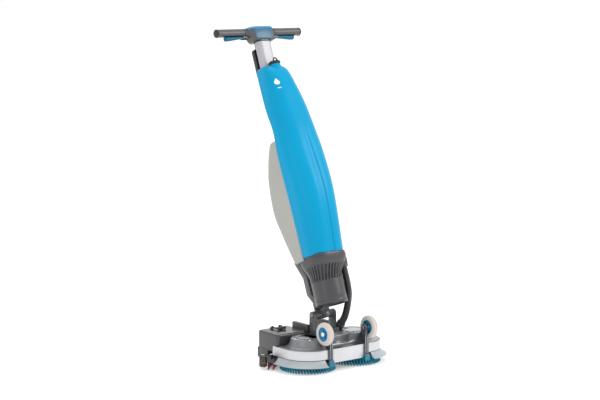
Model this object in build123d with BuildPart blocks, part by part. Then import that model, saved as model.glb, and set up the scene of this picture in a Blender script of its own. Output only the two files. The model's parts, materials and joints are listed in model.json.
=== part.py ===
from build123d import *
from math import cos, radians, sin
import os

# Upright floor scrubber, in millimetres. +Z is up and the machine's front faces -Y.
# X, Y = 0 is the middle of its footprint box and Z = 0 is the floor.
# Left and right are the operator's, who stands behind it, so left is +X.

# ---------------------------------------------------------------- driving dimensions
SIDES = (("left", 1), ("right", -1))
gap = 0.3  # between pieces that move past each other
running = 0.05  # radial clearance of a pin in its bore

brush_y = -159.0  # brush axes, in front of the footprint's middle
brush_x = 104.0  # half the distance between the brush axes
brush_r = 101.0  # at the floor
bristle_h = 28.0
brush_plate_r = 92.0

lobe_r = 99.0  # outer face of the silver band round each brush
band_t = 3.0
band_z = (47.5, 80.0)
deck_top = 82.0
deck_rear = 50.0
band_rear = 75.0
dome_top = 112.0
dome_r = (80.0, 65.0)
motor_bay_r = 50.0
wall = 4.0

pivot_y = 45.0  # behind the brush axes
pivot_z = 174.0
lean = 21.2  # degrees, column parked leaning back
ear_x = (38.0, 50.0)
trunnion_r = 14.0
tilt_pin_r = 6.0
roll_pin_r = 5.0

wheel_r = 41.0
wheel_y = -93.0
wheel_z = 138.0
wheel_x = (90.0, 111.0)
rim_r = 25.0
axle_r = 5.0
arm_x = (74.3, 85.7)

battery_x = (64.0, 198.0)
battery_y = (53.0, 172.0)
battery_z = (61.5, 122.0)
bail_z = 127.5

squeegee_r = 305.0  # radius of the squeegee's curve, seen from above
squeegee_y = -148.0  # centre of that curve
squeegee_half_angle = 48.0
squeegee_z = (26.0, 38.0)
roller_r = 14.0
roller_at = (239.0, 83.0)
post_at = (50.0, 150.0)
post_r = 6.0

hose_r = 13.0
hose_xy = (71.0, -89.0)  # where it enters the housing, across the column

barrel_r = 58.0  # motor housing
barrel_y = -66.0
barrel_foot = 20.0
barrel_top = 130.0
body_foot = 202.0  # up the column from the pivot
tank_seam = 213.0
tank_back = -57.0  # joint between the two tanks, in front of the column's axis
tube_y = -12.5  # middle of the mast tube
tube_size = (62.0, 38.0)
spine_size = (69.0, 45.0)
spine_top = 905.0
tube_foot = 560.0
tank_top = 925.0
recovery_top = 640.0
bar_s = 1067.0  # handlebar, up the column from the pivot
bar_r = 15.5
bar_half = 186.0
block_half = 47.0
spigot_r = 6.0
trigger_x = (72.0, 158.0)
trigger_pivot = (75.0, -19.0)

# ---------------------------------------------------------------- reference planes
deck = Plane((0, brush_y, 0))
pivot = Vector(0, brush_y + pivot_y, pivot_z)
up_column = Vector(0, sin(radians(lean)), cos(radians(lean)))
forward = Vector(0, -cos(radians(lean)), sin(radians(lean)))
# On the column plane x is across, y runs to the rear and z runs up the column.
column = Plane(origin=pivot, x_dir=(1, 0, 0), z_dir=up_column)


def column_front(y):
    """Plane across the column at depth y: x across, y up the column, facing forward."""
    return Plane(origin=column.from_local_coords((0, y, 0)), x_dir=(1, 0, 0), z_dir=forward)


def across(plane, x, y, z):
    """Plane whose normal is +X, through a point given on another plane."""
    return Plane(origin=plane.from_local_coords((x, y, z)), x_dir=plane.y_dir, z_dir=(1, 0, 0))


def box(x, y, z, mode=Mode.ADD):
    """Box between pairs of limits, on the builder's own plane."""
    middle = ((x[0] + x[1]) / 2, (y[0] + y[1]) / 2, (z[0] + z[1]) / 2)
    with Locations(middle):
        Box(x[1] - x[0], y[1] - y[0], z[1] - z[0], mode=mode)


def post(x, y, z, radius, mode=Mode.ADD):
    """Upright cylinder from z[0] to z[1], on the builder's own plane."""
    with Locations((x, y, z[0])):
        Cylinder(radius, z[1] - z[0], align=(Align.CENTER, Align.CENTER, Align.MIN), mode=mode)


def rod_x(x, y, z, radius, mode=Mode.ADD):
    """Cylinder along X from x[0] to x[1], on the builder's own plane."""
    with Locations(Location(((x[0] + x[1]) / 2, y, z), (0, 90, 0))):
        Cylinder(radius, abs(x[1] - x[0]), mode=mode)


def rod_y(x, y, z, radius, mode=Mode.ADD):
    """Cylinder along the plane's y from y[0] to y[1]."""
    with Locations(Location((x, (y[0] + y[1]) / 2, z), (90, 0, 0))):
        Cylinder(radius, abs(y[1] - y[0]), mode=mode)


def span(side, limits):
    """Limits along X for a piece on one side of the machine."""
    low, high = sorted((side * limits[0], side * limits[1]))
    return (low, high)


# ---------------------------------------------------------------- deck
def deck_outline(height, radius, rear):
    """Two lobes with a straight front between them and straight sides behind."""
    with BuildSketch(deck.offset(height)) as outline:
        with Locations((0, (rear - radius) / 2)):
            Rectangle(2 * (brush_x + radius), rear + radius)
        fillet(outline.vertices().group_by(Axis.Y)[0], radius)
    return outline.sketch


def make_deck_cover():
    """Moulded cover: a shallow tray upside down, with a dome over each motor."""
    skin_r = lobe_r - band_t - gap
    bridge_front = -40.0
    with BuildPart(deck) as cover:
        extrude(deck_outline(band_z[0] + 2, skin_r, deck_rear), amount=deck_top - band_z[0] - 2)
        chamfer(cover.faces().sort_by(Axis.Z)[-1].edges(), 3)
        for x in (-brush_x, brush_x):
            with Locations((x, 0, deck_top - 1)):
                Cone(*dome_r, dome_top - deck_top + 1, align=(Align.CENTER, Align.CENTER, Align.MIN))
        box((-brush_x, brush_x), (bridge_front, deck_rear), (deck_top - 1, dome_top))
        for _, side in SIDES:
            arch = span(side, (wheel_x[0] - 2, wheel_x[1] + 2))
            rod_x(arch, wheel_y, wheel_z, wheel_r + 2, Mode.SUBTRACT)
        box((-brush_x - 100, brush_x + 100), (deck_rear, deck_rear + 60), (40, 120), Mode.SUBTRACT)
        inside = deck_outline(band_z[0] + 2, skin_r - wall, deck_rear - wall)
        extrude(inside, amount=deck_top - band_z[0] - 2 - wall, mode=Mode.SUBTRACT)
        with BuildSketch(deck.offset(deck_top - wall - 1)):
            hollow_inside(motor_bay_r, bridge_front + wall)
        extrude(amount=dome_top - deck_top + 1, mode=Mode.SUBTRACT)
    return cover


def hollow_inside(radius, front):
    """Plan of the space under the domes and the bridge between them."""
    rear = deck_rear - wall
    with Locations((-brush_x, 0), (brush_x, 0)):
        Circle(radius)
    with Locations((0, (front + rear) / 2)):
        Rectangle(2 * brush_x, rear - front)
    with Locations((0, rear + 50)):
        Rectangle(2 * brush_x + 2 * radius + 10, 100, mode=Mode.SUBTRACT)


def make_bumper_bands():
    """Silver bands round the two lobes, open between the wheel arms."""
    height = band_z[1] - band_z[0]
    with BuildPart(deck) as bands:
        extrude(deck_outline(band_z[0], lobe_r, band_rear), amount=height)
        inside = deck_outline(band_z[0], lobe_r - band_t, band_rear + 20)
        extrude(inside, amount=height, mode=Mode.SUBTRACT)
        clear = arm_x[1] + gap
        box((-clear, clear), (-lobe_r - 5, band_rear + 20), (40, 84), Mode.SUBTRACT)
    return bands


def make_front_plate():
    """Flat silver plate between the wheel arms, with rounded lower corners."""
    half = arm_x[0] - gap
    with BuildPart(deck) as plate:
        box((-half, half), (-lobe_r, -lobe_r + band_t), (31, band_z[1] + 1))
        fillet(plate.edges().filter_by(Axis.Y).group_by(Axis.Z)[0], 12)
    return plate


def make_splash_skirts():
    """Thin flared skirts, round each lobe's outer front quarter and straight behind it."""
    top = band_z[0] - gap
    profile = ((94, top), (97.5, top), (122, 26), (119, 24.5))
    with BuildPart() as skirts:
        for _, side in SIDES:
            axis = Axis((side * brush_x, brush_y, 0), (0, 0, 1))
            start = Plane((side * brush_x, brush_y, 0), x_dir=(side, 0, 0), z_dir=(0, -side, 0))
            with BuildSketch(start) as edge:
                Polygon(*profile, align=None)
            revolve(edge.sketch, axis=axis, revolution_arc=-side * 90)
            extrude(edge.sketch, amount=-side * 42)
    return skirts


def make_chassis_plate():
    """Flat beam behind the deck that carries the batteries and guides the squeegee."""
    with BuildPart(deck) as plate:
        box((-150, 150), (deck_rear + gap, 165), (50, 58))
        for x in (-post_at[0], post_at[0]):
            post(x, post_at[1], (49, 59), post_r + running, Mode.SUBTRACT)
        fillet(plate.edges().filter_by(Axis.Z).group_by(Axis.Y)[-1], 20)
    return plate


def make_power_module():
    """Block between the batteries, with a trough where the column folds back."""
    with BuildPart(deck) as module:
        box((-61, 61), (62, 150), (58.3, 138))
        fillet(module.edges().filter_by(Axis.Z), 6)
        box((-43, 43), (50, 160), (112, 170), Mode.SUBTRACT)
    return module


def make_brush_motors():
    """Gear motors under the domes, each with its output shaft pointing down."""
    with BuildPart(deck) as motors:
        for x in (-brush_x, brush_x):
            post(x, 0, (75, dome_top - wall), 34)
            post(x, 0, (72, 75), 26)
            post(x, 0, (50, 72), 7)
    return motors


def make_brush_plate(side):
    """Disc that carries the bristles, with a hub for the motor shaft."""
    x = side * brush_x
    with BuildPart(deck) as plate:
        post(x, 0, (bristle_h, bristle_h + 7), brush_plate_r)
        post(x, 0, (bristle_h + 7, bristle_h + 13), 60)
        post(x, 0, (bristle_h + 13, 66), 20)
        post(x, 0, (49, 67), 7 + running, Mode.SUBTRACT)
    return plate


def make_bristles(side):
    """Ring of bristles, spreading towards the floor."""
    x = side * brush_x
    with BuildPart(deck) as ring:
        with Locations((x, 0, 0)):
            Cone(brush_r, brush_plate_r - 1, bristle_h, align=(Align.CENTER, Align.CENTER, Align.MIN))
        post(x, 0, (0, bristle_h), 36, Mode.SUBTRACT)
    return ring


# ---------------------------------------------------------------- transport wheels
def make_wheel_bracket():
    """Two arms down the front of the deck, joined by a curved fairing."""
    front = -lobe_r - 4.3
    back = -lobe_r - gap
    half = arm_x[0]
    dip = 26.0
    arch = (half**2 + dip**2) / (2 * dip)
    with BuildPart() as bracket:
        with BuildSketch(across(deck, 0, 0, 0)):
            with BuildLine():
                outer = ThreePointArc((-99.2, deck_top + 0.5), (-84, 90), (-76, 118))
                rear_top = Line(outer @ 1, (-72, 118))
                inner = ThreePointArc(rear_top @ 1, (-80.5, 87), (-93, deck_top + 0.5))
                Line(inner @ 1, outer @ 0)
            make_face()
        extrude(amount=half, both=True)
        with Locations(Location((0, brush_y - 85, 118 - dip + arch), (90, 0, 0))):
            Cylinder(arch, 60, mode=Mode.SUBTRACT)
        for _, side in SIDES:
            with BuildSketch(across(deck, side * half, 0, 0)):
                Polygon(
                    (front, 22), (back, 22), (back, deck_top + 0.5), (-80, deck_top + 0.5), (-75, 100),
                    (-74, 118), (-80, wheel_z), (wheel_y - 12, wheel_z), (front, 112), align=None,
                )
                with Locations((wheel_y, wheel_z)):
                    Circle(13)
                with Locations((wheel_y, wheel_z)):
                    Circle(axle_r, mode=Mode.SUBTRACT)
            extrude(amount=side * (arm_x[1] - half))
    return bracket


def make_wheel_clips():
    """Clips that hold the feet of the two arms."""
    front = -lobe_r - 4.6
    with BuildPart(deck) as clips:
        for _, side in SIDES:
            box(span(side, (arm_x[0] - 2, arm_x[1] + 2)), (front - 6, front), (20, 44))
        fillet(clips.edges().filter_by(Axis.X), 2.5)
    return clips


def make_wheel_tyre(side):
    """Soft tyre with rounded shoulders."""
    low, high = wheel_x
    with BuildPart() as tyre:
        with BuildSketch(Plane((0, brush_y + wheel_y, wheel_z), x_dir=(1, 0, 0), z_dir=(0, -1, 0))) as half:
            with Locations((side * (low + high) / 2, (rim_r + wheel_r) / 2)):
                Rectangle(high - low, wheel_r - rim_r)
            fillet(half.vertices().group_by(Axis.Y)[-1], 9)
        revolve(axis=Axis((0, brush_y + wheel_y, wheel_z), (1, 0, 0)))
    return tyre


def make_wheel_hub(side):
    """Blue wheel hub, dished on both faces."""
    low, high = wheel_x
    outer = span(side, (low + 1, high - 1))
    with BuildPart(deck) as hub:
        rod_x(outer, wheel_y, wheel_z, rim_r)
        for face, sign in ((low + 1, 1), (high - 1, -1)):
            rod_x(span(side, (face, face + sign * 6)), wheel_y, wheel_z, rim_r - 4, Mode.SUBTRACT)
            rod_x(span(side, (face, face + sign * 6)), wheel_y, wheel_z, 10)
        rod_x(outer, wheel_y, wheel_z, axle_r + running, Mode.SUBTRACT)
    return hub


def make_wheel_bolts():
    """Axle bolts through the arms and the hubs, with nuts inside the arms."""
    with BuildPart(deck) as bolts:
        for _, side in SIDES:
            rod_x(span(side, (arm_x[0] - 6, wheel_x[1] - 0.5)), wheel_y, wheel_z, axle_r)
            rod_x(span(side, (wheel_x[1] - 0.5, wheel_x[1] + 3)), wheel_y, wheel_z, 8)
            rod_x(span(side, (arm_x[0] - 6, arm_x[0])), wheel_y, wheel_z, 8)
    return bolts


# ---------------------------------------------------------------- battery
def make_battery_tray():
    """Tray under the battery, with a skirt down its outer side and its back."""
    low, high = -battery_x[1], -battery_x[0]
    front, rear = battery_y
    with BuildPart(deck) as tray:
        box((low, high), (front + 1, rear), (58.3, 61.2))
        box((low, low + 6), (112, rear), (25, 60))
        box((low, -104), (rear - 6, rear), (25, 60))
        corner = tray.edges().filter_by(Axis.Z).group_by(Axis.X)[0].sort_by(Axis.Y)[-1]
        fillet(corner, 5)
    return tray


def make_battery():
    """Battery pack with lugs for its carry bail."""
    with BuildPart(deck) as pack:
        box((-battery_x[1], -battery_x[0]), battery_y, battery_z)
        fillet(pack.edges().filter_by(Axis.Z), 12)
        fillet(pack.faces().sort_by(Axis.Z)[-1].edges(), 5)
        for low in (106, 150):
            box((-low - 6, -low), (144, 155), (battery_z[1] - 1, bail_z + 5))
        rod_x((-160, -100), 150, bail_z, 3 + running, Mode.SUBTRACT)
    return pack


def make_battery_bail():
    """U-shaped carry bail, folded flat on the pack."""
    with BuildPart(deck) as bail:
        for arm, pin in (((113, 118), (107, 118)), ((144, 149), (144, 155))):
            box(span(-1, arm), (118, 150), (bail_z - 2.5, bail_z + 2.5))
            rod_x(span(-1, arm), 150, bail_z, 5)
            rod_x(span(-1, pin), 150, bail_z, 3)
        rod_x((-149, -113), 118, bail_z, 5)
    return bail


def make_side_cover():
    """Low cover beside the middle block, opposite the battery."""
    with BuildPart(deck) as cover:
        box(battery_x, (battery_y[0], 158), (58.3, 86))
        fillet(cover.edges().filter_by(Axis.Z), 14)
        fillet(cover.faces().sort_by(Axis.Z)[-1].edges(), 6)
    return cover


# ---------------------------------------------------------------- universal joint
def make_base_fork():
    """Foot on the deck's bridge with two ears that hold the tilt axis."""
    with BuildPart(deck) as fork:
        box((-53, 53), (12, 60), (dome_top, dome_top + 12))
        fillet(fork.edges().filter_by(Axis.Z), 8)
        for _, side in SIDES:
            box(span(side, ear_x), (pivot_y - 15, pivot_y + 15), (dome_top + 11, pivot_z))
            rod_x(span(side, ear_x), pivot_y, pivot_z, 15)
            rod_x(span(side, ear_x), pivot_y, pivot_z, tilt_pin_r, Mode.SUBTRACT)
    return fork


def make_tilt_pins():
    """Two headed pins that carry the trunnion block."""
    with BuildPart(deck) as pins:
        for _, side in SIDES:
            rod_x(span(side, (20, ear_x[1])), pivot_y, pivot_z, tilt_pin_r)
            rod_x(span(side, (ear_x[1], ear_x[1] + 3)), pivot_y, pivot_z, 9)
    return pins


def make_pivot_block():
    """Cross block: it tilts in the fork and the column rolls on its fore-aft pin."""
    half = ear_x[0] - gap
    with BuildPart(column) as block:
        rod_x((-half, half), 0, 0, trunnion_r)
        box((-14, 14), (-16, 16), (-14, 14))
        for _, side in SIDES:
            rod_x(span(side, (18, ear_x[0])), 0, 0, tilt_pin_r + running, Mode.SUBTRACT)
        rod_y(0, (-17, 17), 0, roll_pin_r + running, Mode.SUBTRACT)
    return block


def make_roll_pin():
    """Headed fore-aft pin of the column yoke."""
    with BuildPart(column) as pin:
        rod_y(0, (-26, 29), 0, roll_pin_r)
        rod_y(0, (-30, -26), 0, 8)
    return pin


def make_column_yoke():
    """Casting that forks round the block and carries the motor housing and the mast."""
    with BuildPart(column) as yoke:
        for y in ((-26, -16 - gap), (16 + gap, 26)):
            box((-14, 14), y, (0, 33))
            rod_y(0, y, 0, 14)
        box((-14.5, 14.5), (-26, 26), (31, 47))
        with BuildSketch(column_front(22)):
            Polygon(
                (-14.5, 44), (14.5, 44), (35, 78), (35, 140), (60, 200),
                (-60, 200), (-35, 140), (-35, 78), align=None,
            )
        extrude(amount=25)
        rod_y(0, (-30, 30), 0, roll_pin_r, Mode.SUBTRACT)
    return yoke


# ---------------------------------------------------------------- column body
def rounded(height, half, back, front, back_r, front_r):
    """Rounded rectangle across the column; front is the more negative y."""
    with BuildSketch(column.offset(height)) as outline:
        with Locations((0, (back + front) / 2)):
            Rectangle(2 * half, back - front)
        fillet(outline.vertices().group_by(Axis.Y)[0], front_r)
        fillet(outline.vertices().group_by(Axis.Y)[-1], back_r)
    return outline.sketch


def barrel_section(height, inset):
    """Round section of the motor barrel, drawn as a square with full corners."""
    radius = barrel_r - inset
    return rounded(height, radius, barrel_y + radius, barrel_y - radius, radius - 0.5, radius - 0.5)


def collar_section(height, inset):
    """Section where the housing meets the tanks."""
    return rounded(height, 74 - inset, -3.5 - inset, -143 + inset, 12 - inset, 60 - inset)


def housing_shape(inset, foot, mode):
    """The motor barrel, flaring into the foot of the tanks."""
    extrude(barrel_section(foot, inset), amount=barrel_top - foot, mode=mode)
    loft([barrel_section(barrel_top, inset), collar_section(body_foot - 0.5, inset)], mode=mode)


def make_motor_housing():
    """Dark shell round the vacuum motor, notched for the yoke and the hose."""
    skin = 3.0
    with BuildPart(column) as housing:
        housing_shape(0, barrel_foot, Mode.ADD)
        chamfer(housing.faces().sort_by(Axis(pivot, up_column))[0].edges(), 3)
        extrude(collar_section(body_foot - 0.5, 0), amount=11)
        box((-80, 80), (tank_back - gap, 5), (body_foot - 0.5, 220), Mode.SUBTRACT)
        housing_shape(skin, barrel_foot + skin, Mode.SUBTRACT)
        extrude(collar_section(body_foot - 0.5, skin), amount=12, mode=Mode.SUBTRACT)
        box((-17, 17), (-29, 0), (15, 50), Mode.SUBTRACT)
        box((-29, 29), (-18, 0), (15, 37), Mode.SUBTRACT)
        post(*hose_xy, (110, 170), hose_r + 4, Mode.SUBTRACT)
    return housing


def make_vacuum_motor():
    """Suction motor with its fan chamber."""
    with BuildPart(column) as motor:
        post(0, -70, (52, 96), 40)
        post(0, -70, (96, 124), 48)
        fillet(motor.edges().filter_by(GeomType.CIRCLE), 2)
    return motor


def make_water_pump():
    """Small pump that feeds the brushes."""
    with BuildPart(column) as pump:
        box((-50, -14), (-70, -40), (150, 182))
        rod_x((-14, 4), -55, 166, 11)
    return pump


def make_control_board():
    """Circuit board with a few tall components."""
    with BuildPart(column) as board:
        box((-40, 40), (-106, -104), (146, 196))
        for x in (-24, 0, 24):
            box((x - 7, x + 7), (-104, -94), (160, 180))
    return board


def make_hose_cuff():
    """Socket in the housing where the hose plugs in."""
    with BuildPart(column) as cuff:
        post(*hose_xy, (148, 169.5), hose_r + 3.7)
        post(*hose_xy, (140, 166), hose_r, Mode.SUBTRACT)
    return cuff


def tube_section(height, size, corner):
    """Oval mast section."""
    with BuildSketch(column.offset(height)) as oval:
        with Locations((0, tube_y)):
            RectangleRounded(*size, corner)
    return oval.sketch


def make_spine():
    """Fixed mast sleeve, with the clamp bracket on its back."""
    with BuildPart(column) as spine:
        length = spine_top - body_foot + 0.2
        extrude(tube_section(body_foot - 0.2, spine_size, 21.5), amount=length)
        box((-24, 24), (tube_y + 18, 17), (862, 903))
        box((-17, 17), (11.3, 30), (860, 905), Mode.SUBTRACT)
        bore = (tube_size[0] + 2 * gap, tube_size[1] + 2 * gap)
        extrude(tube_section(body_foot - 0.2, bore, 18.3), amount=length, mode=Mode.SUBTRACT)
        for _, side in SIDES:
            box(span(side, (17, 24)), (12, 26), (872, 896))
        rod_x((-26, 26), 20, 884, 3, Mode.SUBTRACT)
    return spine


def make_clamp_pin():
    """Pin of the clamp lever."""
    with BuildPart(column) as pin:
        rod_x((-24, 24), 20, 884, 3)
    return pin


def make_clamp_lever():
    """Long lever behind the mast that clamps the telescopic tube."""
    with BuildPart(column) as lever:
        box((-16.7, 16.7), (14.5, 27), (878, 905))
        box((-26, 26), (14.5, 31), (905, 1008))
        fillet(lever.edges().filter_by(Axis(pivot, column.y_dir)).sort_by(Axis(pivot, up_column))[-2:], 8)
        rod_x((-26, 26), 20, 884, 3 + running, Mode.SUBTRACT)
    return lever


clean_sections = (
    # height, half width, back, front, front corner radius
    (213, 75, -57, -143, 58),
    (431, 81, -57, -163, 62),
    (582, 85, -57, -148, 62),
    (655, 81, -57, -138, 60),
    (742, 78, -42, -121, 56),
    (850, 61, -14, -98, 46),
    (899, 53, -4, -78, 36),
    (925, 46, 0, -56, 34),
)


def make_clean_tank():
    """Hollow front tank with a filler neck, open behind for the mast."""
    skin = 3.0
    with BuildPart(column) as tank:
        loft([rounded(height, half, back, front, 4, corner)
              for height, half, back, front, corner in clean_sections], ruled=True)
        post(0, -55, (890, tank_top), 18)
        loft([rounded(max(height, tank_seam + skin), half - skin, min(back, -36) - skin,
                      front + skin, 2, corner - skin)
              for height, half, back, front, corner in clean_sections[:-1]],
             ruled=True, mode=Mode.SUBTRACT)
        box((-35, 35), (-35.4, 5), (600, 940), Mode.SUBTRACT)
        post(0, -55, (880, tank_top + 1), 14, Mode.SUBTRACT)
    return tank


def make_filler_cap():
    """Screw-in filler cap with a finger loop."""
    with BuildPart(column) as cap:
        post(0, -55, (tank_top + gap, tank_top + 12), 21)
        post(0, -55, (tank_top - 8, tank_top + gap), 13.5)
        with Locations(Location((0, -63, tank_top + 11), (90, 0, 0))):
            Cylinder(11, 5)
        with Locations(Location((0, -63, tank_top + 15), (90, 0, 0))):
            Cylinder(5.5, 7, mode=Mode.SUBTRACT)
    return cap


recovery_sections = (
    # height, back, rear corner radius
    (202, 15, 30),
    (300, 47, 30),
    (404, 70, 30),
    (500, 62, 32),
    (580, 40, 40),
    (640, 14, 50),
)


def make_recovery_tank():
    """Hollow rear tank that wraps round the mast sleeve."""
    skin = 3.0
    front = tank_back + 0.5
    with BuildPart(column) as tank:
        loft([rounded(height, 77, back, front, corner, 3)
              for height, back, corner in recovery_sections], ruled=True)
        loft([rounded(min(max(height, body_foot + skin), recovery_top - skin), 77 - skin,
                      back - skin, front + skin, corner - skin, 2)
              for height, back, corner in recovery_sections], ruled=True, mode=Mode.SUBTRACT)
        box((-38.5, 38.5), (front, 13.2), (body_foot, recovery_top))
        box((-35.5, 35.5), (front - 5, 10.4), (body_foot - 5, recovery_top + 5), Mode.SUBTRACT)
    return tank


def make_float_filter():
    """Float cage that shuts off the suction when the tank is full."""
    with BuildPart(column) as cage:
        post(0, 38, (430, 495), 14)
        post(0, 38, (495, 500), 17)
    return cage


# ---------------------------------------------------------------- handle
def make_mast_tube():
    """Telescopic aluminium handle tube."""
    with BuildPart(column) as tube:
        length = bar_s - 24 - tube_foot
        extrude(tube_section(tube_foot, tube_size, 18), amount=length)
        inside = tube_section(tube_foot, (tube_size[0] - 4, tube_size[1] - 4), 16)
        extrude(inside, amount=length, mode=Mode.SUBTRACT)
    return tube


def make_mast_channel():
    """Cable channel on the back of the tube."""
    with BuildPart(column) as channel:
        box((-20, 20), (6.5, 12.5), (930, bar_s - 24.3))
    return channel


def make_handle_core():
    """Handlebar centre with spigots for the grips and cheeks for the triggers."""
    with BuildPart(column) as core:
        box((-block_half, block_half), (-36, 20), (bar_s - 39, bar_s + 3))
        fillet(core.edges().filter_by(Axis.X), 7)
        socket = (tube_size[0] + 1, tube_size[1] + 1)
        extrude(tube_section(bar_s - 40, socket, 18.5), amount=16, mode=Mode.SUBTRACT)
        box((-20.5, 20.5), (0, 13), (bar_s - 40, bar_s - 24), Mode.SUBTRACT)
        for _, side in SIDES:
            rod_x(span(side, (block_half, 66)), 0, bar_s, bar_r + 0.5)
            rod_x(span(side, (60, bar_half - 18)), 0, bar_s, spigot_r)
            for y in ((-11, -8 - gap), (8 + gap, 11)):
                box(span(side, (block_half - 4, 79)), y, (bar_s - 24, bar_s - 16))
            rod_y(side * trigger_pivot[0], (-12, 12), bar_s + trigger_pivot[1], 2.5, Mode.SUBTRACT)
        box((-36, 36), (-33, 17), (bar_s - 12, bar_s + 4), Mode.SUBTRACT)
    return core


def make_display_housing():
    """Glossy cover of the handlebar's centre, with the display and two buttons."""
    top = bar_s + 17
    with BuildPart(column) as cover:
        box((-block_half, block_half), (-36, 20), (bar_s + 3, top))
        fillet(cover.faces().sort_by(Axis(pivot, up_column))[-1].edges(), 9)
        box((-20, 20), (-20, 6), (top - 1.2, top + 1), Mode.SUBTRACT)
        for x in (-32, 32):
            post(x, -7, (top - 4.5, top + 1), 7 + gap, Mode.SUBTRACT)
    return cover


def make_display_lens():
    """Flat lens over the display."""
    top = bar_s + 17
    with BuildPart(column) as lens:
        box((-20, 20), (-20, 6), (top - 1.2, top + 0.2))
    return lens


def make_button(side):
    """Round push button."""
    top = bar_s + 17
    with BuildPart(column) as button:
        post(side * 32, -7, (top - 2.6, top + 1), 7)
        fillet(button.edges().filter_by(GeomType.CIRCLE).sort_by(Axis(pivot, up_column))[-1], 0.8)
    return button


def make_grips():
    """Two grip sleeves, each slotted underneath for its trigger."""
    with BuildPart(column) as grips:
        for _, side in SIDES:
            rod_x(span(side, (66, bar_half)), 0, bar_s, bar_r)
            rod_x(span(side, (66, bar_half - 18)), 0, bar_s, spigot_r, Mode.SUBTRACT)
            box(span(side, (70.5, 162)), (-9, 9), (bar_s - 20, bar_s - 8), Mode.SUBTRACT)
    return grips


def make_end_caps():
    """Domed caps that close the grips."""
    with BuildPart(column) as caps:
        for _, side in SIDES:
            rod_x(span(side, (bar_half, bar_half + 7)), 0, bar_s, bar_r + 0.5)
        fillet(caps.edges().filter_by(GeomType.CIRCLE).group_by(Axis.X)[0], 3)
        fillet(caps.edges().filter_by(GeomType.CIRCLE).group_by(Axis.X)[-1], 3)
    return caps


def make_trigger(side):
    """Lever under the grip, hinged at its inner end."""
    near, far = trigger_x
    with BuildPart() as trigger:
        with BuildSketch(column_front(8)):
            Polygon(
                (side * near, bar_s - 15.5), (side * far, bar_s - 15.5), (side * far, bar_s - 28),
                (side * (far - 6), bar_s - 30), (side * near, bar_s - 22.5), align=None,
            )
        extrude(amount=16)
        with BuildSketch(column_front(20)):
            with Locations((side * trigger_pivot[0], bar_s + trigger_pivot[1])):
                Circle(2.5 + running)
        extrude(amount=40, mode=Mode.SUBTRACT)
    return trigger


def make_trigger_pins():
    """Pins of the two triggers."""
    with BuildPart(column) as pins:
        for _, side in SIDES:
            rod_y(side * trigger_pivot[0], (-11, 11), bar_s + trigger_pivot[1], 2.5)
    return pins


# ---------------------------------------------------------------- squeegee
def curved_bar(inner, outer, low, high, half_angle):
    """Bar that follows the squeegee's curve."""
    with BuildSketch(deck.offset(low)) as plan:
        with BuildLine():
            centre = (0, squeegee_y)
            start = 90 - half_angle
            near = CenterArc(centre, inner, start, 2 * half_angle)
            far = CenterArc(centre, outer, start, 2 * half_angle)
            Line(near @ 0, far @ 0)
            Line(near @ 1, far @ 1)
        make_face()
    extrude(plan.sketch, amount=high - low)


def make_squeegee_holder():
    """Curved carrier with guide posts and a bracket for each end roller."""
    low, high = squeegee_z
    turn = 90 - 46
    with BuildPart() as holder:
        curved_bar(squeegee_r - 13, squeegee_r + 13, low, high, squeegee_half_angle)
        for _, side in SIDES:
            with BuildSketch(deck.offset(high)):
                with Locations((side * post_at[0], post_at[1])):
                    Circle(post_r)
            extrude(amount=52 - high)
            radial = Plane(
                origin=(0, brush_y + squeegee_y, 0),
                x_dir=(side * cos(radians(turn)), sin(radians(turn)), 0), z_dir=(0, 0, 1),
            )
            with BuildSketch(radial.offset(high)):
                with Locations((squeegee_r + 6, 0)):
                    Rectangle(12, 26)
            extrude(amount=13)
            with BuildSketch(radial.offset(46.5)):
                with Locations((squeegee_r + 21, 0)):
                    Rectangle(42, 26)
            extrude(amount=4.5)
            with BuildSketch(deck.offset(40)):
                with Locations((side * roller_at[0], roller_at[1])):
                    Circle(4)
            extrude(amount=15, mode=Mode.SUBTRACT)
    return holder


def make_squeegee_blades():
    """Two rubber blades, front and rear."""
    with BuildPart() as blades:
        for middle in (squeegee_r - 9, squeegee_r + 9):
            curved_bar(middle - 1.75, middle + 1.75, 0, squeegee_z[0], squeegee_half_angle)
    return blades


def make_squeegee_roller(side):
    """Guide roller at the squeegee's end."""
    with BuildPart(deck) as roller:
        post(side * roller_at[0], roller_at[1], (10, 46), roller_r)
        fillet(roller.edges().filter_by(GeomType.CIRCLE), 3)
        post(side * roller_at[0], roller_at[1], (5, 50), 4 + running, Mode.SUBTRACT)
    return roller


def make_roller_bolts():
    """Bolts that carry the two rollers."""
    with BuildPart(deck) as bolts:
        for _, side in SIDES:
            post(side * roller_at[0], roller_at[1], (9, 51), 4)
            post(side * roller_at[0], roller_at[1], (6, 9), 7)
            post(side * roller_at[0], roller_at[1], (51, 54), 7)
    return bolts


# ---------------------------------------------------------------- suction hose
elbow_at = (69.0, 36.0, 124.0)
elbow_up = Vector(0, -0.66, 0.75)
hose_meeting = (71, -54, 2)  # on the column plane, level with the tilt axis
hose_up = ((71, -89, 166), (71, -89, 128), (72, -88, 86), (73, -80, 40), hose_meeting)
hose_down = ((69.8, 1.8, 168), (69, 16.4, 146.3), (69, 29.6, 131.3))


def hose_tube(points):
    """Round hose along straight runs with arcs as large as the runs allow."""
    radii = []
    for before, here, after in zip(points, points[1:], points[2:]):
        turn = (here - before).get_angle(after - here)
        shorter = min((here - before).length, (after - here).length)
        radii.append(0.45 * shorter / (sin(radians(turn / 2)) / cos(radians(turn / 2))))
    print("hose bend radii", [round(r, 1) for r in radii])
    with BuildPart() as hose:
        with BuildLine() as route:
            FilletPolyline(*points, radius=radii)
        with BuildSketch(Plane(origin=route.line @ 0, z_dir=route.line % 0)):
            Circle(hose_r)
        sweep()
    return hose


def make_hose_upper():
    """Hose from the motor housing down to the level of the joint."""
    return hose_tube([column.from_local_coords(p) for p in hose_up])


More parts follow.
